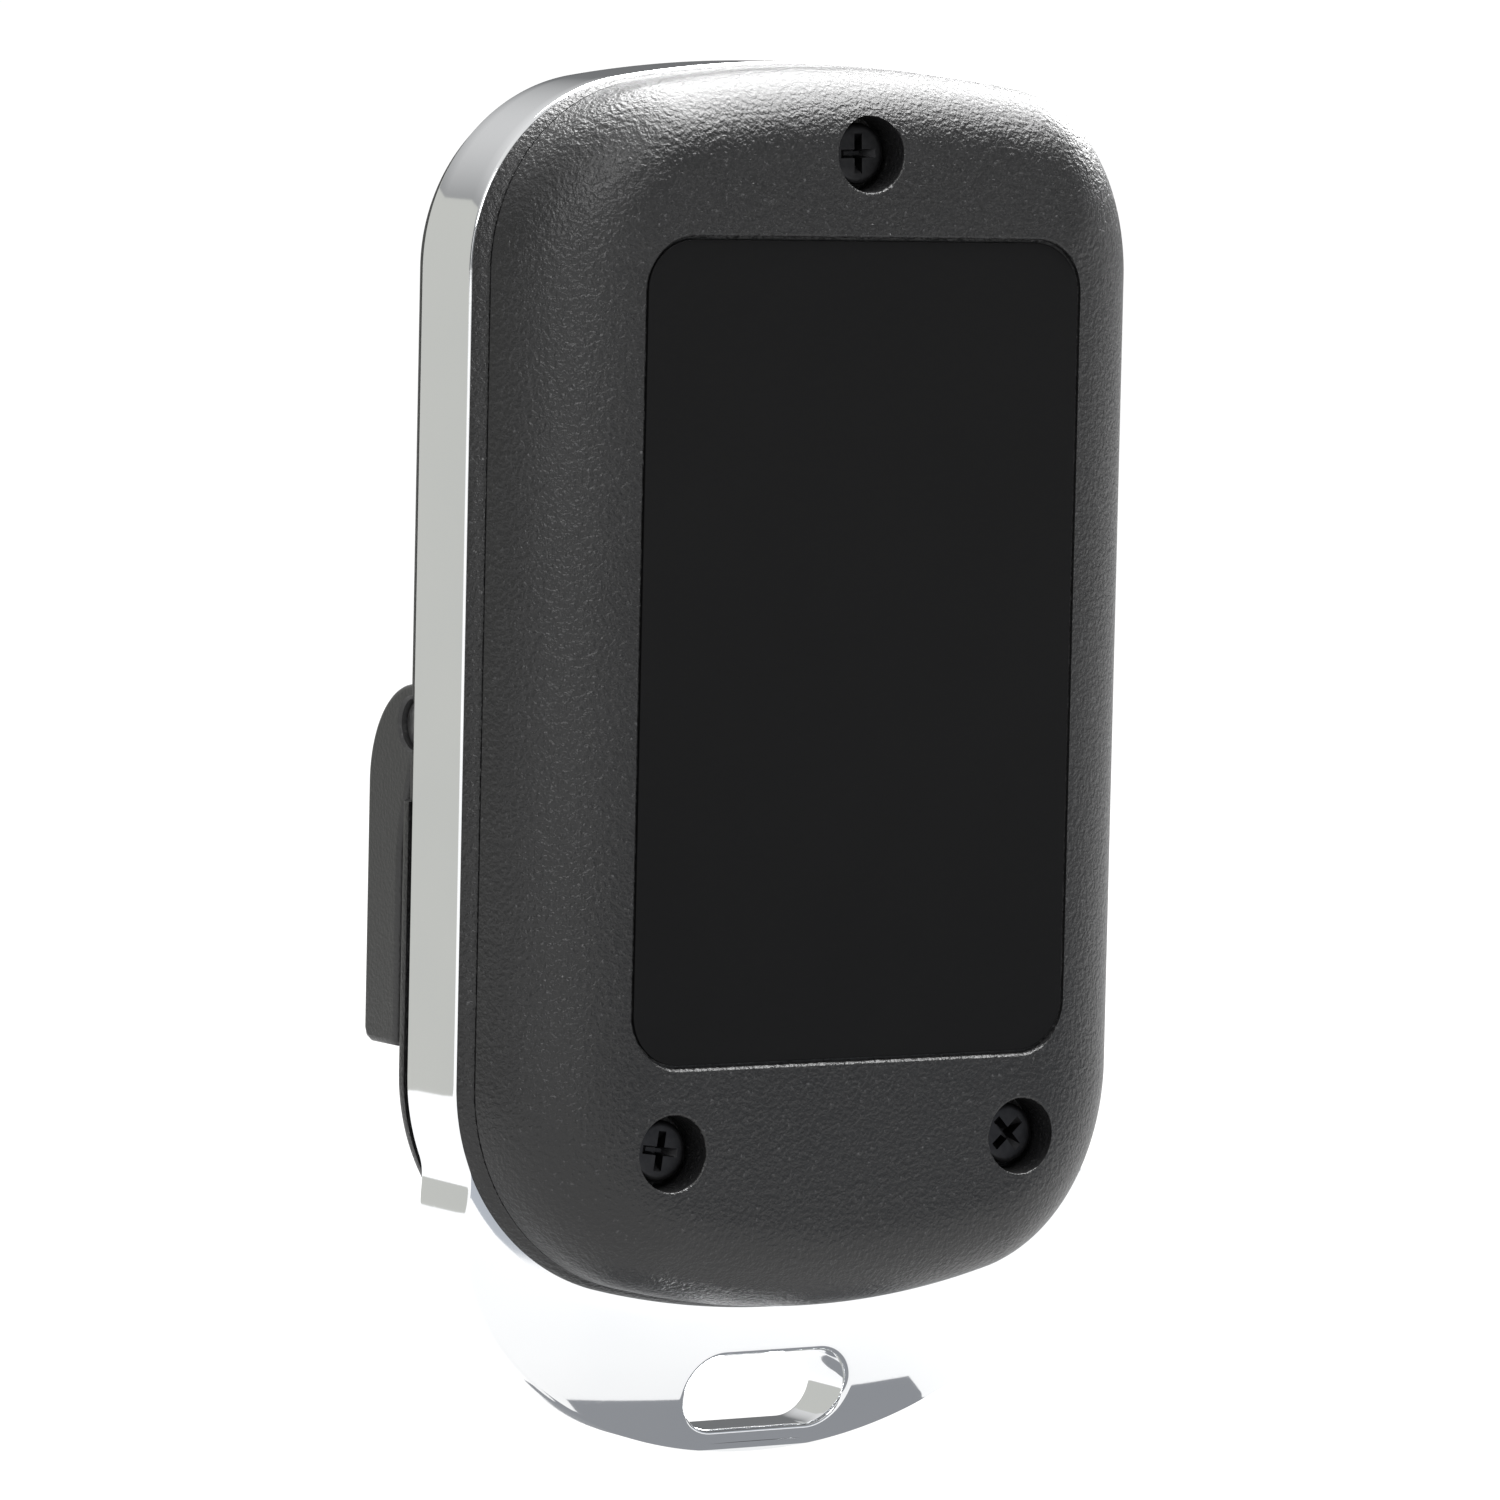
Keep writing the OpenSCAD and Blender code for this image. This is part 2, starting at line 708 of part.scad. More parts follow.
// Bridge over the cell's flat side, with a foot on the board at each end
module cell_bridge() {
    reach = cell_d / 2 + 0.4;
    color([0.75, 0.68, 0.4]) {
        block(-reach - 0.3, reach + 0.3, cell_depth - 0.3, cell_depth, cell_z - 2, cell_z + 2);
        for (x = [-1, 1])
            block(x * reach - 0.3 + eps, x * reach + 0.3, cell_depth - eps, board_depth, cell_z - 2, cell_z + 2);
    }
}

// Flat disc on the board that the cell's cap rests on
module cell_pad() {
    color([0.8, 0.7, 0.35])
        peg(0, cell_z, cell_depth + cell_t, board_depth, 12);
}

module controller_chip() {
    color([0.06, 0.06, 0.06])
        block(part_gap - 1, part_gap - 1 + chip_w, board_depth - chip_h, board_depth, chip_z, chip_z + chip_w);
}

module radio_can() {
    color([0.72, 0.73, 0.74])
        block(-part_gap - chip_w, -part_gap, board_depth - can_h, board_depth, chip_z, chip_z + chip_w);
}

module timing_crystal() {
    color([0.7, 0.71, 0.72])
        translate([-part_gap + 1 - crystal_l / 2, 0, crystal_z])
            slab(board_depth - crystal_w / 2 - 0.2, board_depth) rounded(crystal_l, crystal_w, crystal_w / 2 - 0.05);
}

module antenna_coil() {
    color([0.7, 0.35, 0.12])
        translate([part_gap, rear_y - board_depth + antenna_d / 2, crystal_z])
            rotate([0, 90, 0])
                difference() {
                    cylinder(d = antenna_d, h = crystal_l);
                    translate([0, 0, -cut])
                        cylinder(d = antenna_bore, h = crystal_l + 2 * cut);
                }
}

module indicator_led() {
    color([0.9, 0.88, 0.85])
        block(-0.8, 0.8, board_front, board_front + 0.7, lens_z - 0.5, lens_z + 0.5);
}

module led_lens() {
    color([0.75, 0.1, 0.08]) {
        peg(0, lens_z, front_inner - 0.6, face_depth + lens_rise, lens_d);
        peg(0, lens_z, front_inner - 0.6, front_inner, lens_d + 0.4);
    }
}

module case_screw_1() { case_screw(0); }
module case_screw_2() { case_screw(1); }
module case_screw_3() { case_screw(2); }
module key_1() { key(0); }
module key_2() { key(1); }
module key_3() { key(2); }
module key_4() { key(3); }
module plunger_1() { plunger(0); }
module plunger_2() { plunger(1); }
module plunger_3() { plunger(2); }
module plunger_4() { plunger(3); }
module switch_1() { switch_body(0); }
module switch_2() { switch_body(1); }
module switch_3() { switch_body(2); }
module switch_4() { switch_body(3); }

chrome_frame();
rear_shell();
rear_label();
front_shell();
case_screw_1();
case_screw_2();
case_screw_3();
clip_lever();
clip_pin();
clip_spring();
key_1();
key_2();
key_3();
key_4();
plunger_1();
plunger_2();
plunger_3();
plunger_4();
switch_1();
switch_2();
switch_3();
switch_4();
circuit_board();
coin_cell();
cell_bridge();
cell_pad();
controller_chip();
radio_can();
timing_crystal();
antenna_coil();
indicator_led();
led_lens();
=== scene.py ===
import math

import bmesh
import bpy
import numpy as np
from mathutils import Matrix, Vector


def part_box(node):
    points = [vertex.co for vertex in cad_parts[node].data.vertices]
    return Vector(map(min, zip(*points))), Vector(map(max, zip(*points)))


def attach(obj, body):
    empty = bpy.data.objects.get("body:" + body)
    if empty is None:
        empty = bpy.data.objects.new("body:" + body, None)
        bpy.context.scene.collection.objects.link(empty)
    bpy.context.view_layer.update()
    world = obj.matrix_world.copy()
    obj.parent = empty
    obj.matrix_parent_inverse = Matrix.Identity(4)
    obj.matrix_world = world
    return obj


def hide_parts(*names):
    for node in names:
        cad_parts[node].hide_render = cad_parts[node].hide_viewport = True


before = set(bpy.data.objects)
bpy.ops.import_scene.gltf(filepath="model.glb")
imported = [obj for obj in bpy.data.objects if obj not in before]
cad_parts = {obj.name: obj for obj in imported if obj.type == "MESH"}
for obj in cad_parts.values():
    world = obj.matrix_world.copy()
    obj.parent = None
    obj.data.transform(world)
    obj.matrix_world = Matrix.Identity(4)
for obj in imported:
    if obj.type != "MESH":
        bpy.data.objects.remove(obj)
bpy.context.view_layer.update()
mm = 0.001
joinDepth = 0.3 * mm  # overlap of solids that are joined into one
cutterStart = 2 * mm  # how far a cutter starts outside the surface it cuts
print("frame loaded")

frameLow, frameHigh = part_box("chrome_frame")
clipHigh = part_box("clip_lever")[1]
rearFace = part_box("rear_shell")[1][1]  # y of the flat screw side; depths run from here towards -y
pinLow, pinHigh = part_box("clip_pin")
hingeY, hingeZ = (pinLow[1] + pinHigh[1]) / 2, (pinLow[2] + pinHigh[2]) / 2
bandRear = rearFace - frameHigh[1]
bandFront = rearFace - frameLow[1]

# Case outline: two slow crowns that run into four round corners
caseShape = {
    "halfWidth": frameHigh[0],
    "top": frameHigh[2],
    "low": 7.0 * mm,
    "topCorner": 9.0 * mm,
    "lowCorner": 10.2 * mm,
    "topCrown": 60.0 * mm,
    "lowCrown": 40.0 * mm,
    "cornerSteps": 60,
    "crownSteps": 56,
    "sideSteps": 36,
}


def caseOutline(shape):
    # Arcs and straight sides in turn, each point with its outward normal, so any inset is exact:
    # inset point = point - inset * normal
    half, top, low = shape["halfWidth"], shape["top"], shape["low"]
    rt, rl, ct, cl = shape["topCorner"], shape["lowCorner"], shape["topCrown"], shape["lowCrown"]
    ot = math.sqrt((ct - rt) ** 2 - (half - rt) ** 2)
    ol = math.sqrt((cl - rl) ** 2 - (half - rl) ** 2)
    zt, zl = top - ct + ot, low + cl - ol
    at, al = math.atan2(ot, half - rt), math.atan2(ol, half - rl)
    pi = math.pi
    arcs = [
        (half - rt, zt, rt, 0, at, shape["cornerSteps"]),
        (0, top - ct, ct, at, pi - at, shape["crownSteps"]),
        (rt - half, zt, rt, pi - at, pi, shape["cornerSteps"]),
        (rl - half, zl, rl, pi, pi + al, shape["cornerSteps"]),
        (0, low + cl, cl, pi + al, 2 * pi - al, shape["crownSteps"]),
        (half - rl, zl, rl, 2 * pi - al, 2 * pi, shape["cornerSteps"]),
    ]
    points, normals = [], []
    for k, (x, z, r, a0, a1, n) in enumerate(arcs):
        a = np.linspace(a0, a1, n, endpoint=k in (2, 5))
        unit = np.stack([np.cos(a), np.sin(a)], 1)
        points.append(np.array([x, z]) + r * unit)
        normals.append(unit)
        if k in (2, 5):
            side = -1 if k == 2 else 1
            z0, z1 = (zt, zl) if k == 2 else (zl, zt)
            zs = np.linspace(z0, z1, shape["sideSteps"])[1:-1]
            points.append(np.stack([np.full_like(zs, side * half), zs], 1))
            normals.append(np.tile([side, 0.0], (len(zs), 1)))
    return np.concatenate(points), np.concatenate(normals)


def padOutline(width, height, radius, steps=14):
    # Rounded rectangle about the origin as four corner arcs, with outward normals
    points, normals = [], []
    for k, (sx, sz) in enumerate([(1, 1), (-1, 1), (-1, -1), (1, -1)]):
        a = np.linspace(0, math.pi / 2, steps) + k * math.pi / 2
        unit = np.stack([np.cos(a), np.sin(a)], 1)
        centre = np.array([sx * (width / 2 - radius), sz * (height / 2 - radius)])
        points.append(centre + radius * unit)
        normals.append(unit)
    return np.concatenate(points), np.concatenate(normals)


def place(xz, depth):
    # Points in X and Z at a depth behind the screw side, as world coordinates
    depth = np.broadcast_to(depth, xz.shape[:-1])
    return np.stack([xz[..., 0], rearFace - depth, xz[..., 1]], -1)


def gridPiece(name, grid, closeRows=False, capStart=True, capEnd=True, bands=None):
    # Rows of points joined into quads; a row wraps round on itself. The signed volume turns the
    # faces outwards: sum of p0 . (p1 x p2) over the triangles.
    rows, cols = grid.shape[:2]
    r = np.arange(rows if closeRows else rows - 1)[:, None]
    c = np.arange(cols)[None, :]
    rn, cn = (r + 1) % rows, (c + 1) % cols
    quads = np.stack([r * cols + c, r * cols + cn, rn * cols + cn, rn * cols + c], -1).reshape(-1, 4)
    faces = quads.tolist()
    marks = [] if bands is None else np.repeat(np.asarray(bands)[: len(r)], cols).tolist()
    if not closeRows:
        if capStart:
            faces.append(list(range(cols))[::-1])
        if capEnd:
            faces.append([(rows - 1) * cols + k for k in range(cols)])
    points = grid.reshape(-1, 3)
    p = points - points.mean(0)
    volume = sum(
        float(np.einsum("ij,ij->i", p[quads[:, 0]], np.cross(p[quads[:, a]], p[quads[:, b]])).sum())
        for a, b in ((1, 2), (2, 3))
    )
    if volume < 0:
        faces = [f[::-1] for f in faces]
    mesh = bpy.data.meshes.new(name)
    mesh.from_pydata(points.tolist(), [], faces)
    if marks:
        marks += [marks[0]] * (len(faces) - len(marks))
        mesh.polygons.foreach_set("material_index", marks)
    mesh.validate()
    mesh.update()
    piece = bpy.data.objects.new(name, mesh)
    bpy.context.collection.objects.link(piece)
    return piece


def carve(piece, tool, mode="DIFFERENCE"):
    step = piece.modifiers.new("carve", "BOOLEAN")
    step.operation, step.object, step.solver = mode, tool, "EXACT"
    graph = bpy.context.evaluated_depsgraph_get()
    mesh = bpy.data.meshes.new_from_object(piece.evaluated_get(graph))
    piece.modifiers.clear()
    old, piece.data = piece.data, mesh
    bpy.data.meshes.remove(old)
    bpy.data.objects.remove(tool)
    return piece


def soften(piece, degrees=32, flat=4e-6):
    # Smooth shading, with an edge kept sharp where its faces turn by more than this or where it
    # borders a large level face
    work = bmesh.new()
    work.from_mesh(piece.data)
    bmesh.ops.remove_doubles(work, verts=work.verts, dist=1e-7)
    limit = math.radians(degrees)
    large = set()
    for face in work.faces:
        face.smooth = True
        if face.calc_area() > flat:
            large.add(face.index)
    for edge in work.edges:
        near = any(face.index in large for face in edge.link_faces)
        edge.smooth = len(edge.link_faces) == 2 and edge.calc_face_angle(0) < limit and not near
    work.to_mesh(piece.data)
    work.free()
    return piece


def fuse(name, pieces):
    # Several finished meshes as one object, each keeping its own closed surface
    work = bmesh.new()
    slots = []
    for piece in pieces:
        work.from_mesh(piece.data)
        slots = slots or list(piece.data.materials)
    mesh = bpy.data.meshes.new(name)
    work.to_mesh(mesh)
    work.free()
    for slot in slots:
        mesh.materials.append(slot)
    for piece in pieces:
        bpy.data.objects.remove(piece)
    joined = bpy.data.objects.new(name, mesh)
    bpy.context.collection.objects.link(joined)
    return joined


def lathe(name, x, z, profile, steps=64):
    # A profile of (radius, depth) pairs turned about an axis that runs along the depth
    a = np.linspace(0, 2 * math.pi, steps, endpoint=False)
    unit = np.stack([np.cos(a), np.sin(a)], 1)
    rows = [place(np.array([x, z]) + r * unit, d) for r, d in profile]
    return gridPiece(name, np.stack(rows))


def barPiece(name, profile, steps=72):
    # A profile of (radius, x) pairs turned about the hinge axis
    a = np.linspace(0, 2 * math.pi, steps, endpoint=False)
    rows = [np.stack([np.full(steps, x), hingeY + r * np.cos(a), hingeZ + r * np.sin(a)], 1)
        for r, x in profile]
    return gridPiece(name, np.stack(rows))


def platePiece(name, side, x0, x1, edge=0.0, turns=5):
    # A closed side view in (forward of the hinge axis, above it) run along X; its rims are rounded
    # by moving each corner in along the mitre (n1 + n2) / (1 + n1 . n2) of its two edge normals
    side = np.array(side)
    ahead = np.roll(side, -1, 0) - side
    ahead /= np.linalg.norm(ahead, axis=1)[:, None]
    turn = np.sign((side[:, 0] * np.roll(side[:, 1], -1) - np.roll(side[:, 0], -1) * side[:, 1]).sum())
    normal = turn * np.stack([ahead[:, 1], -ahead[:, 0]], 1)
    before = np.roll(normal, 1, 0)
    mitre = (normal + before) / (1 + (normal * before).sum(1))[:, None]
    sine, cosine = quarter(turns)
    rims = [(x0 + edge * (1 - c), edge * (1 - a)) for a, c in zip(sine, cosine)] if edge else [(x0, 0)]
    rims += [(x1 - edge * (1 - c), edge * (1 - a))
        for a, c in zip(sine[::-1], cosine[::-1])] if edge else [(x1, 0)]
    rows = []
    for x, inset in rims:
        q = side - inset * mitre
        rows.append(np.stack([np.full(len(q), x), hingeY - q[:, 0], hingeZ + q[:, 1]], 1))
    return gridPiece(name, np.stack(rows))


def blockPiece(name, low, high):
    (x0, d0, z0), (x1, d1, z1) = low, high
    ring = np.array([(x0, z0), (x1, z0), (x1, z1), (x0, z1)])
    return gridPiece(name, np.stack([place(ring, d0), place(ring, d1)]))


def quarter(steps):
    # Sine and cosine pairs from 0 to 90 degrees
    a = np.linspace(0, math.pi / 2, steps)
    return np.sin(a), np.cos(a)


def finishPiece(piece, body, slot, materials, *nodes):
    piece.data.materials.clear()
    for material in materials:
        piece.data.materials.append(material)
    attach(piece, body)
    if nodes:
        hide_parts(*nodes)
    return piece


# Shader maths: Val wraps a socket, and operators add Math nodes
class Val:
    def __init__(self, finish, socket):
        self.finish, self.socket = finish, socket

    def join(self, operation, other, swapped=False):
        a, b = (other, self) if swapped else (self, other)
        return self.finish.node("ShaderNodeMath", {"operation": operation}, {0: a, 1: b})

    def __add__(self, other):
        return self.join("ADD", other)

    def __radd__(self, other):
        return self.join("ADD", other, True)

    def __sub__(self, other):
        return self.join("SUBTRACT", other)

    def __rsub__(self, other):
        return self.join("SUBTRACT", other, True)

    def __mul__(self, other):
        return self.join("MULTIPLY", other)

    def __rmul__(self, other):
        return self.join("MULTIPLY", other, True)

    def __truediv__(self, other):
        return self.join("DIVIDE", other)

    def __rtruediv__(self, other):
        return self.join("DIVIDE", other, True)

    def __pow__(self, other):
        return self.join("POWER", other)


class Finish:
    def __init__(self, name):
        self.material = bpy.data.materials.new(name)
        self.material.use_nodes = True
        self.tree = self.material.node_tree
        self.tree.nodes.clear()
        self.out = self.tree.nodes.new("ShaderNodeOutputMaterial")

    def put(self, socket, value):
        if isinstance(value, Val):
            self.tree.links.new(value.socket, socket)
        else:
            socket.default_value = value

    def node(self, kind, settings=None, inputs=None, out=0):
        made = self.tree.nodes.new(kind)
        for key, value in (settings or {}).items():
            if key == "stops":
                ramp = made.color_ramp
                while len(ramp.elements) < len(value):
                    ramp.elements.new(0.5)
                for element, (at, colour) in zip(ramp.elements, value):
                    element.position, element.color = at, colour
            else:
                setattr(made, key, value)
        for key, value in (inputs or {}).items():
            self.put(made.inputs[key], value)
        return Val(self, made.outputs[out])

    def where(self):
        return self.node("ShaderNodeTexCoord", out="Object")

    def noise(self, scale, detail=3, rough=0.5, at=None):
        return self.node("ShaderNodeTexNoise", {"normalize": True},
            {"Vector": at or self.where(), "Scale": scale, "Detail": detail, "Roughness": rough})

    def ramp(self, value, low, high, bottom=0.0, top=1.0):
        return self.node("ShaderNodeMapRange", {"clamp": True},
            {"Value": value, "From Min": low, "From Max": high, "To Min": bottom, "To Max": top})

    def blend(self, factor, first, second):
        return self.node("ShaderNodeMix", {"data_type": "RGBA"}, {0: factor, 6: first, 7: second}, out=2)

    def bump(self, height, strength, distance, base=None):
        inputs = {"Height": height, "Strength": strength, "Distance": distance}
        if base:
            inputs["Normal"] = base
        return self.node("ShaderNodeBump", None, inputs)

    def surface(self, **inputs):
        names = {key: key.replace("_", " ") for key in inputs}
        shader = self.node("ShaderNodeBsdfPrincipled", None, {names[k]: v for k, v in inputs.items()})
        self.tree.links.new(shader.socket, self.out.inputs["Surface"])
        return self.material


def rgb(r, g, b):
    return (r, g, b, 1.0)


# Spark-eroded black moulding: coarse worm-like grain with a finer one on top, and painted glints: bright
# specks of colour where the grain peaks, standing in for sparkle of light
texturedBlack = {"grain": 4200, "fine": 8500, "depth": 0.00005, "base": rgb(0.0055, 0.0055, 0.0058),
    "light": rgb(0.07, 0.07, 0.072)}


def makeTexturedBlack(name, look, rough=0.36, shine=0.5):
    f = Finish(name)
    at = f.where()
    coarse = f.noise(look["grain"], 2.5, 0.55, at)
    fine = f.noise(look["fine"], 2, 0.5, at)
    patch = f.noise(90, 3, 0.6, at)
    ridge = f.ramp(coarse, 0.36, 0.66)
    # Painted glints: a mask of bright specks where the coarse and fine grain peak together
    paintedGlints = f.ramp(coarse * 0.5 + fine * 0.5, 0.6, 0.7)
    height = ridge * 0.8 + fine * 0.35
    # Colour: base blended towards light at the painted glints, plus a faint random patch tone
    colour = f.blend(paintedGlints * 0.7 + patch * 0.04, look["base"], look["light"])
    normal = f.bump(height, 0.75, look["depth"])
    return f.surface(Base_Color=colour, Roughness=f.ramp(fine + patch * 0.3, 0.3, 1.0, rough - 0.1,
        rough + 0.12),
        Normal=normal, Specular_IOR_Level=shine)


def makeGlossBlack(name, rough=0.2):
    f = Finish(name)
    at = f.where()
    haze = f.noise(420, 4, 0.6, at)
    return f.surface(Base_Color=f.blend(haze, rgb(0.003, 0.003, 0.0032), rgb(0.005, 0.005, 0.0053)),
        Roughness=f.ramp(haze, 0.3, 0.8, rough, rough + 0.14),
        Normal=f.bump(f.noise(2500, 2, 0.5, at), 0.12, 0.00001), Specular_IOR_Level=0.5)


def makePlating(name):
    f = Finish(name)
    at = f.where()
    wave = f.noise(150, 2, 0.4, at)
    specks = f.ramp(f.noise(5200, 3, 0.6, at), 0.62, 0.8)
    return f.surface(Base_Color=f.blend(wave, rgb(0.83, 0.845, 0.86), rgb(0.89, 0.895, 0.9)), Metallic=1.0,
        Roughness=0.045 + wave * 0.04 + specks * 0.1, Normal=f.bump(wave * 0.8 + specks * 0.02, 0.1, 0.00012))


def makeMetal(name, dark, light, rough, grain=1800, stretch=(1, 1, 1)):
    f = Finish(name)
    at = f.node("ShaderNodeMapping", None, {"Vector": f.where(), "Scale": stretch})
    streak = f.noise(grain, 4, 0.6, at)
    return f.surface(Base_Color=f.blend(streak, dark, light), Metallic=1.0,
        Roughness=f.ramp(streak, 0.2, 0.8, rough, rough + 0.18), Normal=f.bump(streak, 0.15, 0.00001))


def makeMoulded(name, dark, light, rough, grain=2600, depth=0.00002, **more):
    f = Finish(name)
    at = f.where()
    cloud = f.noise(grain, 3, 0.55, at)
    broad = f.noise(160, 3, 0.55, at)
    return f.surface(Base_Color=f.blend(broad, dark, light),
        Roughness=f.ramp(cloud, 0.25, 0.8, rough, rough + 0.16),
        Normal=f.bump(cloud, 0.3, depth), **more)


def makeBoard(name):
    f = Finish(name)
    at = f.where()
    cells = f.node("ShaderNodeTexVoronoi", {"feature": "DISTANCE_TO_EDGE"}, {"Vector": at, "Scale": 700.0})
    tracks = f.ramp(cells, 0.05, 0.09)
    return f.surface(Base_Color=f.blend(tracks, rgb(0.05, 0.25, 0.1), rgb(0.015, 0.11, 0.045)),
        Roughness=0.32,
        Normal=f.bump(1 - tracks, 0.3, 0.00003), Coat_Weight=0.4)


blackGrain = makeTexturedBlack("texturedBlack", texturedBlack)
frontGrain = makeTexturedBlack("frontBlack", texturedBlack, 0.44, 0.3)
blackGloss = makeGlossBlack("smoothRim")
labelFilm = makeMoulded("labelFilm", rgb(0.0035, 0.0035, 0.0037), rgb(0.0045, 0.0045, 0.0047), 0.4, 5200,
    0.000004, Specular_IOR_Level=0.1)
plating = makePlating("plating")
clipBlack = makeTexturedBlack("clipBlack", dict(texturedBlack, grain=5200, fine=12000, depth=0.00002,
    base=rgb(0.022, 0.022, 0.022), light=rgb(0.05, 0.05, 0.051)), 0.4)
screwBlack = makeMetal("screwBlack", rgb(0.018, 0.018, 0.02), rgb(0.06, 0.06, 0.062), 0.3, 2400)
pinSteel = makeMetal("pinSteel", rgb(0.2, 0.2, 0.21), rgb(0.5, 0.5, 0.51), 0.25, 900, (1, 8, 8))
springSteel = makeMetal("springSteel", rgb(0.45, 0.45, 0.46), rgb(0.7, 0.7, 0.71), 0.22, 1500)
keyRubber = makeMoulded("keyRubber", rgb(0.075, 0.076, 0.08), rgb(0.1, 0.101, 0.105), 0.5, 3400, 0.000012)
boardGreen = makeBoard("boardGreen")
cellSteel = makeMetal("cellSteel", rgb(0.55, 0.55, 0.54), rgb(0.7, 0.7, 0.68), 0.24, 1200)
contactGold = makeMetal("contactGold", rgb(0.6, 0.48, 0.22), rgb(0.78, 0.66, 0.36), 0.22, 1400)
shieldTin = makeMetal("shieldTin", rgb(0.55, 0.56, 0.57), rgb(0.72, 0.73, 0.74), 0.3, 1100)
coilCopper = makeMetal("coilCopper", rgb(0.42, 0.17, 0.06), rgb(0.66, 0.3, 0.12), 0.28, 2200, (6, 1, 1))
chipBlack = makeMoulded("chipBlack", rgb(0.02, 0.02, 0.02), rgb(0.035, 0.035, 0.035), 0.5)
switchGrey = makeMoulded("switchGrey", rgb(0.05, 0.05, 0.053), rgb(0.075, 0.075, 0.08), 0.45)
plungerCream = makeMoulded("plungerCream", rgb(0.62, 0.58, 0.48), rgb(0.7, 0.66, 0.56), 0.4)
lampWhite = makeMoulded("lampWhite", rgb(0.7, 0.68, 0.6), rgb(0.8, 0.78, 0.72), 0.25)
lensRed = makeMoulded("lensRed", rgb(0.45, 0.015, 0.012), rgb(0.6, 0.03, 0.02), 0.08, 900, 0.000002,
    Coat_Weight=0.6)
print("finishes made")

outline, outNormal = caseOutline(caseShape)


def insetOf(stop):
    # The inset at each outline point: end + (side - end) * nx^2, with its own end at top and bottom
    end = np.where(outNormal[:, 1] > 0, stop[2], stop[3])
    return end + (stop[1] - end) * outNormal[:, 0] ** 2


def caseRows(stops):
    # One row of points for each (depth, side inset, top inset, bottom inset) stop
    return np.stack([place(outline - insetOf(stop)[:, None] * outNormal, stop[0]) for stop in stops])


def even(d, inset):
    return (d, inset, inset, inset)


screwSpots = []
for k in (1, 2, 3):
    low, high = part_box("case_screw_%d" % k)
    screwSpots.append(((low[0] + high[0]) / 2, (low[2] + high[2]) / 2))

# Rear shell: large side rounding, groove line, slanted smooth rim, lip and cavity in one closed skin
rearShape = {
    "sideRound": 7.5 * mm,
    "topRound": 3.5 * mm,
    "lowRound": 4.2 * mm,
    "steps": 34,
    "rimDepth": 0.7 * mm,
    "rimStep": 0.1 * mm,
    "rimSlant": 0.5 * mm,
    "topSlant": 0.15 * mm,
    "lowSlant": 0.28 * mm,
    "rimBulge": 0.035 * mm,
    "groove": 0.16 * mm,
    "edge": 0.04 * mm,
    "wall": 1.5 * mm,
    "lipOuter": 1.18 * mm,
    "lipInner": 2.08 * mm,
    "lipLength": 1.2 * mm,
    "wellRadius": 1.75 * mm,
    "wellDepth": 2.2 * mm,
    "wellBevel": 0.12 * mm,
    "bossRadius": 2.7 * mm,
    "bossEnd": 6.3 * mm,
    "threadRadius": 0.9 * mm,
    "labelDepth": 0.35 * mm,
    "labelRadius": 2.5 * mm,
    "labelEdge": 0.12 * mm,
}


def flankStop(d, wall, s):
    # Inset at depth d on a rounding of radius r that ends above the groove, moved in by the wall:
    # step + slant + sqrt(r^2 - (r - end)^2) - sqrt((r - wall)^2 - (r - d)^2)
    end = bandRear - s["rimDepth"] - s["groove"]
    insets = []
    for r, slant in ((s["sideRound"], s["rimSlant"]), (s["topRound"], s["topSlant"]),
        (s["lowRound"], s["lowSlant"])):
        reach = math.sqrt(r * r - (r - min(end, r)) ** 2)
        insets.append(s["rimStep"] + slant + reach - math.sqrt(max((r - wall) ** 2 - (r - min(d, r)) ** 2,
            0)))
    return (d, *insets)


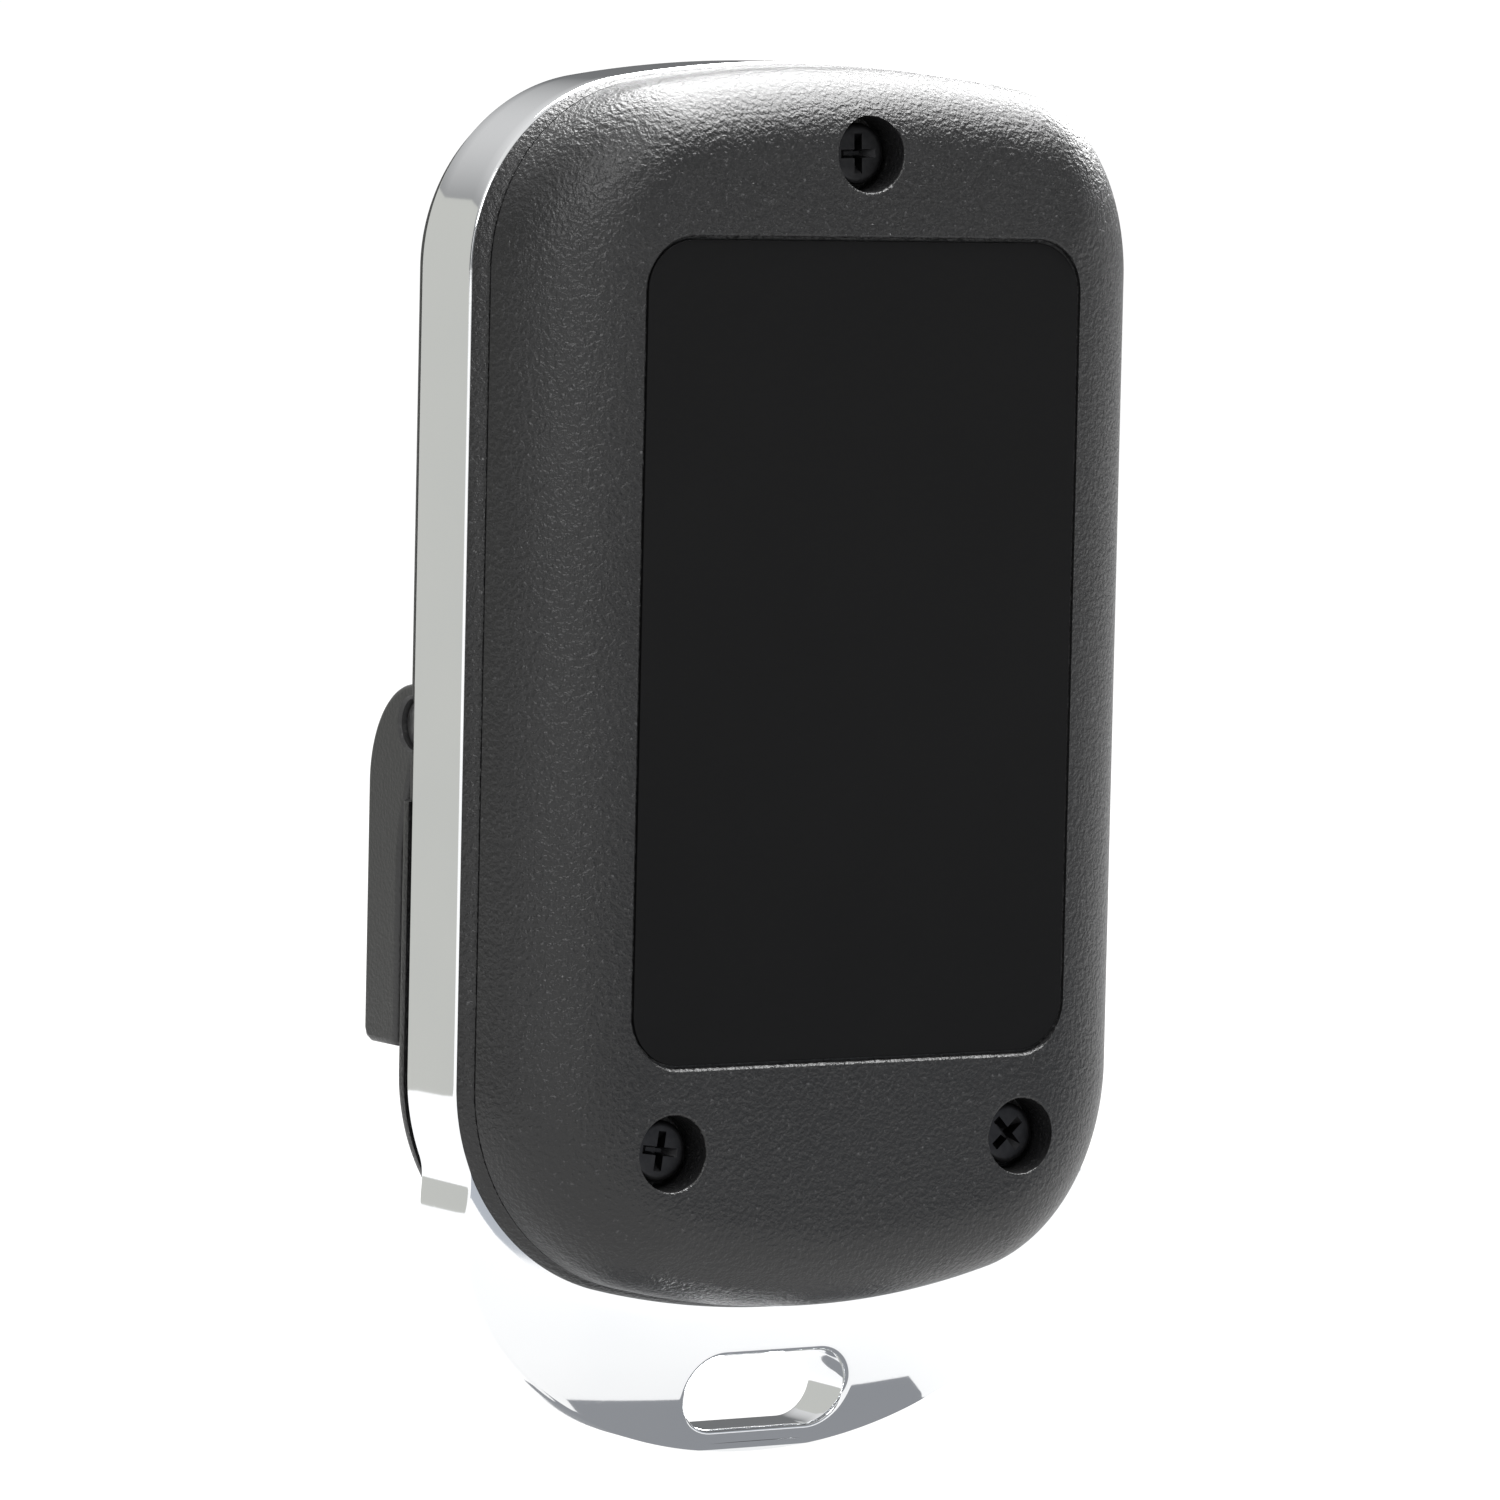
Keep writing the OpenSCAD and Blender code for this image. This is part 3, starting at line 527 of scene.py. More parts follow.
def makeRearShell(s):
    foot = bandRear - s["rimDepth"] - s["groove"]
    stops = [flankStop(foot * (1 - math.cos(t)), 0, s) for t in np.linspace(0, math.pi / 2, s["steps"])]
    top = stops[-1]
    e, g, foot = s["edge"], s["groove"], bandRear - s["rimDepth"]

    def stepped(d, more):
        return (d, top[1] + more, top[2] + more, top[3] + more)

    first = len(stops)
    stops += [stepped(foot - g + e * 0.4, e * 0.4), stepped(foot - g + e * 0.5, g), stepped(foot, g),
        stepped(foot, e),
        stepped(foot + e * 0.3, e * 0.3)]
    for f in np.linspace(0, 1, 7):
        bulge = s["rimBulge"] * math.sin(math.pi * f)
        d = foot + e + (s["rimDepth"] - 2 * e) * f
        stops.append((d, *[a + (s["rimStep"] - a) * f - bulge for a in top[1:]]))
    last = len(stops)
    stops += [even(bandRear, s["rimStep"] + e), even(bandRear, s["lipOuter"]),
        even(bandRear + s["lipLength"], s["lipOuter"]),
        even(bandRear + s["lipLength"], s["lipInner"])]
    for d in np.linspace(bandRear - s["rimDepth"], s["wall"] + 0.3 * mm, 5):
        inner = flankStop(d, s["wall"], s)
        stops.append((inner[0], *[max(a, s["lipInner"]) for a in inner[1:]]))
    bands = [1 if first <= k <= last else 0 for k in range(len(stops))]
    shell = gridPiece("rearShell", caseRows(stops), bands=bands)
    tools, bosses = [], []
    for x, z in screwSpots:
        bosses.append(lathe("boss", x, z, [(s["bossRadius"], s["wall"] - joinDepth),
            (s["bossRadius"], s["bossEnd"])]))
        r, b, d = s["wellRadius"], s["wellBevel"], s["wellDepth"]
        mouth = [(r + b * (1 - math.sin(t)), b * (1 - math.cos(t))) for t in np.linspace(0, math.pi / 2, 5)]
        tools.append(lathe("well", x, z, [(r + b, -cutterStart), *mouth, (r, d), (s["threadRadius"], d),
            (s["threadRadius"], 8 * mm)], 96))
    low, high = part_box("rear_label")
    pad, padNormal = padOutline(high[0] - low[0] + 0.3 * mm, high[2] - low[2] + 0.3 * mm, s["labelRadius"],
        24)
    pad = pad + np.array([(low[0] + high[0]) / 2, (low[2] + high[2]) / 2])
    b = s["labelEdge"]
    rows = [(-cutterStart, b), (0, b), (b * 0.35, b * 0.4), (b, 0), (s["labelDepth"], 0)]
    tools.append(gridPiece("recess", np.stack([place(pad + w * padNormal, d) for d, w in rows])))
    for piece in (shell, *bosses, *tools):
        piece.data.materials.append(blackGrain)
        piece.data.materials.append(blackGloss)
    for piece in tools:
        piece.data.polygons.foreach_set("material_index", [1] * len(piece.data.polygons))
    carve(shell, fuse("bosses", bosses), "UNION")
    carve(shell, fuse("tools", tools))
    soften(shell)
    return finishPiece(shell, "case", "textured_black", [blackGrain, blackGloss], "rear_shell")


makeRearShell(rearShape)
print("rear shell made")


def makeLabel():
    # Thin blank film with its rim rounded over
    low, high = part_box("rear_label")
    pad, normal = padOutline(high[0] - low[0], high[2] - low[2], 2.35 * mm, 18)
    pad = pad + np.array([(low[0] + high[0]) / 2, (low[2] + high[2]) / 2])
    face, back, e = rearFace - high[1], rearFace - low[1], 0.04 * mm
    rows = [(face, e), (face + e * 0.3, e * 0.3), (face + e, 0), (back, 0)]
    label = gridPiece("blankLabel", np.stack([place(pad - w * normal, d) for d, w in rows]))
    soften(label)
    finishPiece(label, "case", "label_black", [labelFilm], "rear_label")


makeLabel()
print("label made")

# Plated frame: band, flat rim under the shell, sloping tail and the key ring slot
frameShape = {
    "wall": 1.1 * mm,
    "tailHalfWidth": frameHigh[0] - 0.8 * mm,
    "tailHalfHeight": 12.1 * mm,
    "join": 0.5 * mm,
    "rim": 0.45 * mm,
    "slope": 0.18,
    "curve": 20.0,
    "crease": 0.12 * mm,
    "rearEdge": 0.16 * mm,
    "frontEdge": 0.2 * mm,
    "slotWidth": 8.7 * mm,
    "slotHeight": 3.6 * mm,
    "slotHeightAt": 3.0 * mm,
    "slotRim": 0.7 * mm,
    "slotRound": 0.32 * mm,
}


def rearFaceDepth(h, s):
    # Depth of the frame's rear face, h metres outside the case outline: level on the rim, then
    # slope * q + curve * q^2 with q = (t + sqrt(t^2 + crease^2)) / 2 and t measured from the rim
    def fall(t):
        q = 0.5 * (t + np.sqrt(t * t + s["crease"] ** 2))
        return s["slope"] * q + s["curve"] * q * q

    return bandRear + fall(h - s["rim"]) - fall(-s["rim"] - s["wall"])


def tailReach(s):
    # How far the tail's oval lies outside the case outline along each normal, blended to 0
    px, pz = outline[:, 0], outline[:, 1] - s["tailHalfHeight"]
    nx, nz = outNormal[:, 0], outNormal[:, 1]
    a2, b2 = s["tailHalfWidth"] ** 2, s["tailHalfHeight"] ** 2
    qa = nx * nx / a2 + nz * nz / b2
    qb = 2 * (px * nx / a2 + pz * nz / b2)
    qc = px * px / a2 + pz * pz / b2 - 1
    root = np.maximum(qb * qb - 4 * qa * qc, 0)
    reach = np.where(pz < 8 * mm, (-qb + np.sqrt(root)) / (2 * qa), -1.0)
    k = s["join"]
    return np.where(reach > k, reach, np.where(reach < -k, 0, (reach + k) ** 2 / (4 * k)))


def makeFrame(s):
    reach = tailReach(s)
    e, g, w = s["rearEdge"], s["frontEdge"], s["wall"]
    end = reach - e
    mid = np.minimum(0.2 * mm, -w + 0.45 * (end + w))
    rows = []
    for t in np.linspace(0, 1, 5)[:-1]:
        rows.append((-w + t * (mid + w), None))
    for t in np.linspace(0, 1, 34):
        rows.append((mid + t ** 1.6 * (end - mid), None))
    lip = rearFaceDepth(end, s)
    sine, cosine = quarter(7)
    for a, c in zip(sine[1:], cosine[1:]):
        rows.append((end + e * a, lip + e * (1 - c)))
    for t in np.linspace(0, 1, 6)[1:-1]:
        rows.append((reach, lip + e + t * (bandFront - g - lip - e)))
    for a, c in zip(sine, cosine):
        rows.append((reach - g * (1 - c), bandFront - g + g * a))
    for t in np.linspace(0, 1, 8)[1:]:
        rows.append((reach - g + t * (-w - reach + g), np.full_like(reach, bandFront)))
    for d in (bandFront - 1.5 * mm, bandRear + 1.5 * mm):
        rows.append((np.full_like(reach, -w), np.full_like(reach, d)))
    grid = []
    for h, d in rows:
        d = rearFaceDepth(h, s) if d is None else d
        grid.append(place(outline + h[:, None] * outNormal, d))
    band = gridPiece("band", np.stack(grid), closeRows=True)
    slot, slotNormal = padOutline(s["slotWidth"], s["slotHeight"], s["slotHeight"] / 2 - 0.001 * mm, 40)
    slot = slot + np.array([0, s["slotHeightAt"]])
    wide = slot + s["slotRim"] * slotNormal
    carve(band, gridPiece("slotTool", np.stack([place(wide, 0.001), place(wide, 0.02)])))
    crownZ = caseShape["low"] + caseShape["lowCrown"]

    def outside(xz):
        return np.hypot(xz[..., 0], xz[..., 1] - crownZ) - caseShape["lowCrown"]

    r = s["slotRound"]
    rows = []
    for t in np.linspace(s["slotRim"], r, 8)[:-1]:
        xz = slot + t * slotNormal
        rows.append(place(xz, rearFaceDepth(outside(xz), s)))
    sine, cosine = quarter(12)
    for a, c in zip(sine, cosine):
        xz = slot + r * (1 - a) * slotNormal
        rows.append(place(xz, rearFaceDepth(outside(xz), s) + r * (1 - c)))
    for t in np.linspace(0, 1, 6)[1:-1]:
        d = rearFaceDepth(outside(slot), s) + r
        rows.append(place(slot, d + t * (bandFront - r - d)))
    for a, c in zip(sine, cosine):
        rows.append(place(slot + r * (1 - c) * slotNormal, bandFront - r + r * a))
    rows.append(place(wide, bandFront))
    rim = gridPiece("slotRim", np.stack(rows), closeRows=True)
    soften(band)
    soften(rim)
    whole = fuse("chromeFrame", [band, rim])
    return finishPiece(whole, "case", "plated_frame", [plating], "chrome_frame")


makeFrame(frameShape)
print("frame made")

# Front shell: face with a rounded rim, the clip's pad, hinge lugs, bosses and the key openings
frontShape = {
    "face": bandFront + 2.1 * mm,
    "wall": 1.5 * mm,
    "lipOuter": 1.18 * mm,
    "lipInner": 2.08 * mm,
    "lipLength": 1.2 * mm,
    "step": 0.25 * mm,
    "round": 2.4 * mm,
    "turn": 2.0 * mm,
    "padRise": 0.3 * mm,
    "padTop": hingeZ - 3.4 * mm,
    "lugOuter": 15.05 * mm,
    "lugWidth": 2.4 * mm,
    "knuckle": 1.85 * mm,
    "notch": 2.1 * mm,
    "pinHole": 1.16 * mm,
    "channel": 1.65 * mm,
    "bossRadius": 2.0 * mm,
    "threadRadius": 0.9 * mm,
    "threadEnd": 9.9 * mm,
    "keyGap": 0.15 * mm,
    "lensRadius": 1.35 * mm,
    "openingEdge": 0.15 * mm,
    "bossMeet": 6.3 * mm,
    "postX": 13.6 * mm,
    "postRise": 12.5 * mm,
    "postDrop": 12 * mm,
    "postRadius": 0.8 * mm,
    "postEnd": 7.4 * mm,
}


def makeFrontShell(s):
    inside = s["face"] - s["wall"]
    stops = [even(inside, s["lipInner"]), even(bandFront - s["lipLength"], s["lipInner"]),
        even(bandFront - s["lipLength"], s["lipOuter"]), even(bandFront, s["lipOuter"]),
        even(bandFront, s["step"])]
    sweep = np.linspace(0, math.pi / 2, 18)
    for t in sweep:
        stops.append(even(s["face"] - s["turn"] * (1 - math.sin(t)),
            s["step"] + s["round"] * (1 - math.cos(t))))
    shell = gridPiece("frontShell", caseRows(stops))
    pad = gridPiece("pad", caseRows([even(s["face"] + s["padRise"] - s["turn"] * (1 - math.sin(t)),
        s["step"] - 0.15 * mm + s["round"] * (1 - math.cos(t))) for t in sweep]))
    carve(pad, blockPiece("padTrim", (-0.03, 0, s["padTop"]), (0.03, 0.03, 0.08)))
    carve(shell, pad, "UNION")
    k = s["knuckle"]
    a = np.linspace(-math.pi / 2, math.pi / 2, 32)
    back = s["face"] - 0.6 * mm - (rearFace - hingeY)
    lug = [(back, -k), *[(k * math.cos(t), k * math.sin(t)) for t in a], (back, k)]
    solids = []
    for side in (-1, 1):
        ends = sorted((side * s["lugOuter"], side * (s["lugOuter"] - s["lugWidth"])))
        solids.append(platePiece("lug", lug, ends[0], ends[1], 0.15 * mm))
    tall = s["notch"] + 0.8 * mm
    wide = frameHigh[0] - s["lipInner"] + 0.2 * mm
    solids.append(blockPiece("bridge", (-wide, rearFace - hingeY - tall, hingeZ - tall),
        (wide, inside + joinDepth, hingeZ + tall)))
    for x, z in screwSpots:
        solids.append(lathe("boss", x, z, [(s["bossRadius"], s["bossMeet"]),
            (s["bossRadius"], inside + joinDepth)]))
    for x in (-s["postX"], s["postX"]):
        for z in (caseShape["low"] + s["postRise"], caseShape["top"] - s["postDrop"]):
            solids.append(lathe("post", x, z, [(s["postRadius"], s["postEnd"]),
                (s["postRadius"], inside + joinDepth)], 32))
    carve(shell, fuse("solids", solids), "UNION")
    far = frameHigh[0] + 1 * mm
    tools = [barPiece("channel", [(s["notch"], -s["channel"]), (s["notch"], s["channel"])])]
    for ends in ((-far, -s["lugOuter"]), (s["lugOuter"], far)):
        tools.append(barPiece("notch", [(s["notch"], ends[0]), (s["notch"], ends[1])]))
    for x, z in screwSpots:
        tools.append(lathe("thread", x, z, [(s["threadRadius"], 5 * mm),
            (s["threadRadius"], s["threadEnd"])]))
    e = s["openingEdge"]
    sine, cosine = quarter(5)
    rims = [(s["face"] - e * (1 - c), e * (1 - a)) for a, c in zip(sine[::-1], cosine[::-1])]
    rims = [(inside - 1 * mm, 0)] + rims + [(s["face"] + cutterStart, e)]
    for n in (1, 2, 3, 4):
        centre, width, height = keySize(n)
        hole, normal = padOutline(width + 2 * s["keyGap"], height + 2 * s["keyGap"], 2.15 * mm)
        tools.append(gridPiece("opening", np.stack([place(centre + hole + w * normal, d) for d, w in rims])))
    low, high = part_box("led_lens")
    tools.append(lathe("lensHole", (low[0] + high[0]) / 2, (low[2] + high[2]) / 2,
        [(s["lensRadius"] + w * 0.6, d) for d, w in rims]))
    carve(shell, fuse("tools", tools))
    carve(shell, barPiece("pinHole", [(s["pinHole"], -far), (s["pinHole"], far)]))
    soften(shell)
    return finishPiece(shell, "case", "textured_black", [frontGrain], "front_shell")


def keySize(n):
    # Centre from the plunger behind the key, and the key's own width and height without its flange
    low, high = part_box("plunger_%d" % n)
    centre = np.array([(low[0] + high[0]) / 2, (low[2] + high[2]) / 2])
    low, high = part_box("key_%d" % n)
    return centre, high[0] - low[0] - 1.2 * mm, high[2] - low[2] - 1.2 * mm


makeFrontShell(frontShape)
print("front shell made")

# Keys: flange, straight sides, rounded shoulder, a low crown and one to four raised dots
keyShape = {
    "flange": 0.6 * mm,
    "flangeBack": 10.15 * mm,
    "flangeFront": 10.85 * mm,
    "top": 13.0 * mm,
    "shoulder": 0.45 * mm,
    "crown": 0.07 * mm,
    "dotRadius": 0.4 * mm,
    "dotPitch": 1.5 * mm,
    "stem": 1.5 * mm,
}


def makeKey(n, s):
    centre, width, height = keySize(n)
    pad, normal = padOutline(width, height, 2 * mm, 16)
    b = s["shoulder"]
    rows = [place(centre + pad + (s["flange"] - w) * normal, d) for d, w in
        ((s["flangeBack"], 0.1 * mm), (s["flangeBack"] + 0.1 * mm, 0), (s["flangeFront"] - 0.1 * mm, 0),
            (s["flangeFront"], 0.1 * mm))]
    rows.append(place(centre + pad, s["flangeFront"]))
    for t in np.linspace(0, math.pi / 2, 9):
        rows.append(place(centre + pad - b * (1 - math.cos(t)) * normal, s["top"] - b + b * math.sin(t)))
    inner = pad - b * normal
    for u in np.linspace(1, 0.03, 14)[1:]:
        rows.append(place(centre + u * inner, s["top"] + s["crown"] * (1 - u * u)))
    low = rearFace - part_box("key_%d" % n)[1][1]
    parts = [gridPiece("cap", np.stack(rows)),
        lathe("stem", centre[0], centre[1], [(s["stem"], low), (s["stem"], s["flangeBack"] + 0.1 * mm)], 48)]
    r, top = s["dotRadius"], s["top"] + s["crown"]
    for i in range(n):
        x = centre[0] + (i - (n - 1) / 2) * s["dotPitch"]
        dome = [(r * math.cos(t), top + 0.08 * mm * math.sin(t)) for t in np.linspace(0, 1.5, 7)]
        parts.append(lathe("dot", x, centre[1], [(r, top - 0.1 * mm), *dome], 28))
    key = fuse("keyCap%d" % n, parts)
    soften(key)
    finishPiece(key, "key_body_%d" % n, "key_grey", [keyRubber], "key_%d" % n)


for n in (1, 2, 3, 4):
    makeKey(n, keyShape)
print("keys made")

# Clip: a bent plate with two side walls, cut from one rounded block, and a chamfered pin hole
clipShape = {
    "half": clipHigh[0],
    "thick": 1.2 * mm,
    "reach": 4.1 * mm,
    "length": 15 * mm,
    "knuckle": 1.85 * mm,
    "wall": 3.1 * mm,
    "hole": 1.2 * mm,
    "edge": 0.3 * mm,
    "chamfer": 0.14 * mm,
}


def makeClip(s):
    reach, k, length = s["reach"], s["knuckle"], s["length"]
    down = 2.9 * mm
    side = [(reach * math.cos(t), 4.75 * mm * math.sin(t) - down)
        for t in np.linspace(math.pi / 2 - 0.02, 0, 26)]
    side += [(reach, -length + 0.6 * mm), (reach - 0.18 * mm, -length + 0.18 * mm),
        (reach - 0.6 * mm, -length)]
    near = reach - s["wall"]
    side += [(near + 0.2 * mm, -length), (near, -length + 0.2 * mm), (near, -6 * mm),
        (near - 0.2 * mm, -4.6 * mm),
        (0.35 * mm, -3.2 * mm), (0.12 * mm, -2.4 * mm)]
    side += [(k * math.cos(t), k * math.sin(t)) for t in np.linspace(-math.pi / 2, -3 * math.pi / 2, 40)]
    clip = platePiece("clipLever", side, -s["half"], s["half"], s["edge"], 6)
    inner = reach - s["thick"]
    clear = 2.15 * mm
    bar = -length + s["thick"]
    hollow = [(inner, bar), (inner, -down)]
    hollow += [(inner * math.cos(t), 3.5 * mm * math.sin(t) - down) for t in np.linspace(0, 0.76, 14)[1:]]
    hollow += [(clear * math.cos(t), clear * math.sin(t)) for t in np.linspace(-0.23, 0.046, 5)]
    hollow += [(8 * mm, 0.1 * mm), (8 * mm, 5 * mm), (-5 * mm, 5 * mm), (-5 * mm, bar)]
    between = s["half"] - s["thick"]
    carve(clip, platePiece("hollow", hollow, -between, between))
    r, c, far = s["hole"], s["chamfer"], s["half"]
    carve(clip, barPiece("eye", [(r + 3 * c, -far - 2 * c), (r + c, -far), (r, -far + c), (r, far - c),
        (r + c, far),
        (r + 3 * c, far + 2 * c)]))
    soften(clip)
    finishPiece(clip, "clip", "clip_black", [clipBlack], "clip_lever")


makeClip(clipShape)
print("clip made")


def makePin():
    half, r, c = pinHigh[0], (pinHigh[2] - pinLow[2]) / 2, 0.15 * mm
    profile = [(r - c, -half), (r - 0.3 * c, -half + 0.3 * c), (r, -half + c), (r, half - c),
        (r - 0.3 * c, half - 0.3 * c), (r - c, half)]
    pin = barPiece("hingePin", profile)
    soften(pin)
    finishPiece(pin, "case", "steel_pin", [pinSteel], "clip_pin")


makePin()

# Spring: one wire, up from the pad, round the pin and down under the plate
springShape = {"coil": 1.6 * mm, "wire": 0.25 * mm, "half": 1.15 * mm, "turns": 5, "padLeg": 0.51 * mm,
    "leg": 4 * mm,
    "longLeg": 7.5 * mm, "lean": math.radians(7.2)}


def makeSpring(s):
    # Helix: forward = r sin a, up = r cos a, x grows evenly with a; straight legs run on from its ends
    start = math.pi - math.asin(s["padLeg"] / s["coil"])
    a = np.linspace(start, math.pi / 2 + 2 * math.pi * s["turns"], 400)
    x = np.linspace(-s["half"], s["half"], len(a))
    coil = np.stack([x, s["coil"] * np.sin(a), s["coil"] * np.cos(a)], 1)
    rise = np.linspace(s["leg"], 0.1 * mm, 30)[:, None]
    first = coil[0] - rise * np.array([0, 0, 1])
    drop = np.linspace(0.1 * mm, s["longLeg"], 40)[:, None]
    second = coil[-1] + drop * np.array([0, math.sin(s["lean"]), -math.cos(s["lean"])])
    path = np.concatenate([first, coil, second])
    for _ in range(4):
        path[1:-1] = 0.25 * path[:-2] + 0.5 * path[1:-1] + 0.25 * path[2:]
    along = np.gradient(path, axis=0)
    along /= np.linalg.norm(along, axis=1)[:, None]
    across = np.array([1.0, 0, 0]) - along[:, :1] * along
    across /= np.linalg.norm(across, axis=1)[:, None]
    other = np.cross(along, across)
    ring = np.linspace(0, 2 * math.pi, 14, endpoint=False)
    tube = path[:, None] + s["wire"] * (np.cos(ring)[None, :, None] * across[:, None]
        + np.sin(ring)[None, :, None] * other[:, None])
    grid = np.stack([tube[..., 0], hingeY - tube[..., 1], hingeZ + tube[..., 2]], -1)
    spring = gridPiece("torsionSpring", grid)
    soften(spring, 40)
    finishPiece(spring, "case", "spring_steel", [springSteel], "clip_spring")


makeSpring(springShape)
print("pin and spring made")

# Screws: rounded head with a tapered cross recess
screwShape = {"head": 1.4 * mm, "face": 1.2 * mm, "seat": 2.2 * mm, "shank": 0.85 * mm, "end": 9.6 * mm,
    "round": 0.28 * mm,
    "crossLong": 0.92 * mm, "crossHalf": 0.2 * mm, "crossDeep": 0.6 * mm}


def makeScrew(n, s):
    x, z = screwSpots[n - 1]
    r, e = s["head"], s["round"]
    rounds = [(r - e * (1 - math.sin(t)), s["face"] + e * 0.7 * (1 - math.cos(t)))
        for t in np.linspace(0, math.pi / 2, 7)]
    profile = [(r - e - 0.35 * mm, s["face"]), *rounds, (r, s["seat"]), (s["shank"], s["seat"]),
        (s["shank"], s["end"] - 0.5 * mm),
        (s["shank"] - 0.3 * mm, s["end"])]
    screw = lathe("screw%d" % n, x, z, profile, 64)
    a, b = s["crossLong"], s["crossHalf"]
    cross = np.array([(a, b), (b, b), (b, a), (-b, a), (-b, b), (-a, b), (-a, -b), (-b, -b), (-b, -a),
        (b, -a), (b, -b), (a, -b)])
    turn = math.radians(38 + 50 * n)
    cross = cross @ np.array([[math.cos(turn), math.sin(turn)], [-math.sin(turn), math.cos(turn)]])
    spot = np.array([x, z])
    rows = [place(spot + 1.15 * cross, s["face"] - 0.3 * mm), place(spot + cross, s["face"]),
        place(spot + 0.45 * cross, s["face"] + s["crossDeep"])]
    carve(screw, gridPiece("cross", np.stack(rows)))
    soften(screw, 28, 1e-4)
    finishPiece(screw, "case", "screw_black", [screwBlack], "case_screw_%d" % n)


for n in (1, 2, 3):
    makeScrew(n, screwShape)
print("screws made")


def makeLens():
    low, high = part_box("led_lens")
    r, top, back = 1.3 * mm, rearFace - low[1], rearFace - high[1]
    dome = [(r * math.cos(t), top - 0.25 * mm + 0.25 * mm * math.sin(t)) for t in np.linspace(0, 1.5, 9)]
    lens = lathe("lampLens", (low[0] + high[0]) / 2, (low[2] + high[2]) / 2,
        [(high[0] - (low[0] + high[0]) / 2, back), (high[0] - (low[0] + high[0]) / 2, 10.9 * mm),
            (r, 10.9 * mm), *dome])
    soften(lens)
    finishPiece(lens, "case", "lens_red", [lensRed], "led_lens")


makeLens()

# Inner parts keep their own shapes and get their finishes
innerFinish = {"circuit_board": boardGreen, "coin_cell": cellSteel, "cell_bridge": contactGold,
    "cell_pad": contactGold,
    "controller_chip": chipBlack, "radio_can": shieldTin, "timing_crystal": shieldTin,
    "antenna_coil": coilCopper,
    "indicator_led": lampWhite}
for n in (1, 2, 3, 4):
    innerFinish["plunger_%d" % n] = plungerCream
    innerFinish["switch_%d" % n] = switchGrey
for name, material in innerFinish.items():
    for spot in bpy.data.objects[name].material_slots:
        spot.material = material
print("inner parts finished")

# Camera at a three-quarter view of the screw side, then the pale floor and the lights
cameraShape = {"at": (211.97 * mm, 343.38 * mm, 63.63 * mm), "right": (-0.8524, 0.52244, 0.02187),
    "up": (-0.0212, -0.07631, 0.99686), "ahead": (-0.52247, -0.84926, -0.07612), "lens": 208.8}


def makeCamera(c):
    data = bpy.data.cameras.new("camera")
    data.sensor_width, data.lens = 36, c["lens"]
    data.clip_start, data.clip_end = 0.01, 20
    camera = bpy.data.objects.new("camera", data)
    bpy.context.collection.objects.link(camera)
    right = Vector(c["right"]).normalized()
    up = Vector(c["up"]).normalized()
    back = -Vector(c["ahead"]).normalized()
    turn = Matrix((right, up, back)).transposed().to_4x4()
    camera.matrix_world = Matrix.Translation(c["at"]) @ turn
    bpy.context.scene.camera = camera


makeCamera(cameraShape)


def makeLight(name, at, aim, size, power, colour=(1, 1, 1)):
    data = bpy.data.lights.new(name, "AREA")
    data.shape, data.size, data.size_y = "RECTANGLE", size[0], size[1]
    data.energy, data.color = power, colour
    light = bpy.data.objects.new(name, data)
    bpy.context.collection.objects.link(light)
    light.location = at
    light.rotation_euler = (Vector(aim) - Vector(at)).to_track_quat("-Z", "Y").to_euler()
    return light


def makeCard(name, centre, across, up, colour):
    # A card with half sides across and up that only reflections see
    middle, side, lift = Vector(centre), Vector(across), Vector(up)
    mesh = bpy.data.meshes.new(name)
    mesh.from_pydata([tuple(middle + a * side + b * lift)
        for a, b in ((-1, -1), (1, -1), (1, 1), (-1, 1))], [], [(0, 1, 2, 3)])
    card = bpy.data.objects.new(name, mesh)
    bpy.context.collection.objects.link(card)
    f = Finish(name)
    mesh.materials.append(f.surface(Base_Color=rgb(0, 0, 0), Roughness=1.0, Specular_IOR_Level=0.0,
        Emission_Color=rgb(*colour), Emission_Strength=1.0))
    card.visible_camera = card.visible_diffuse = card.visible_shadow = False


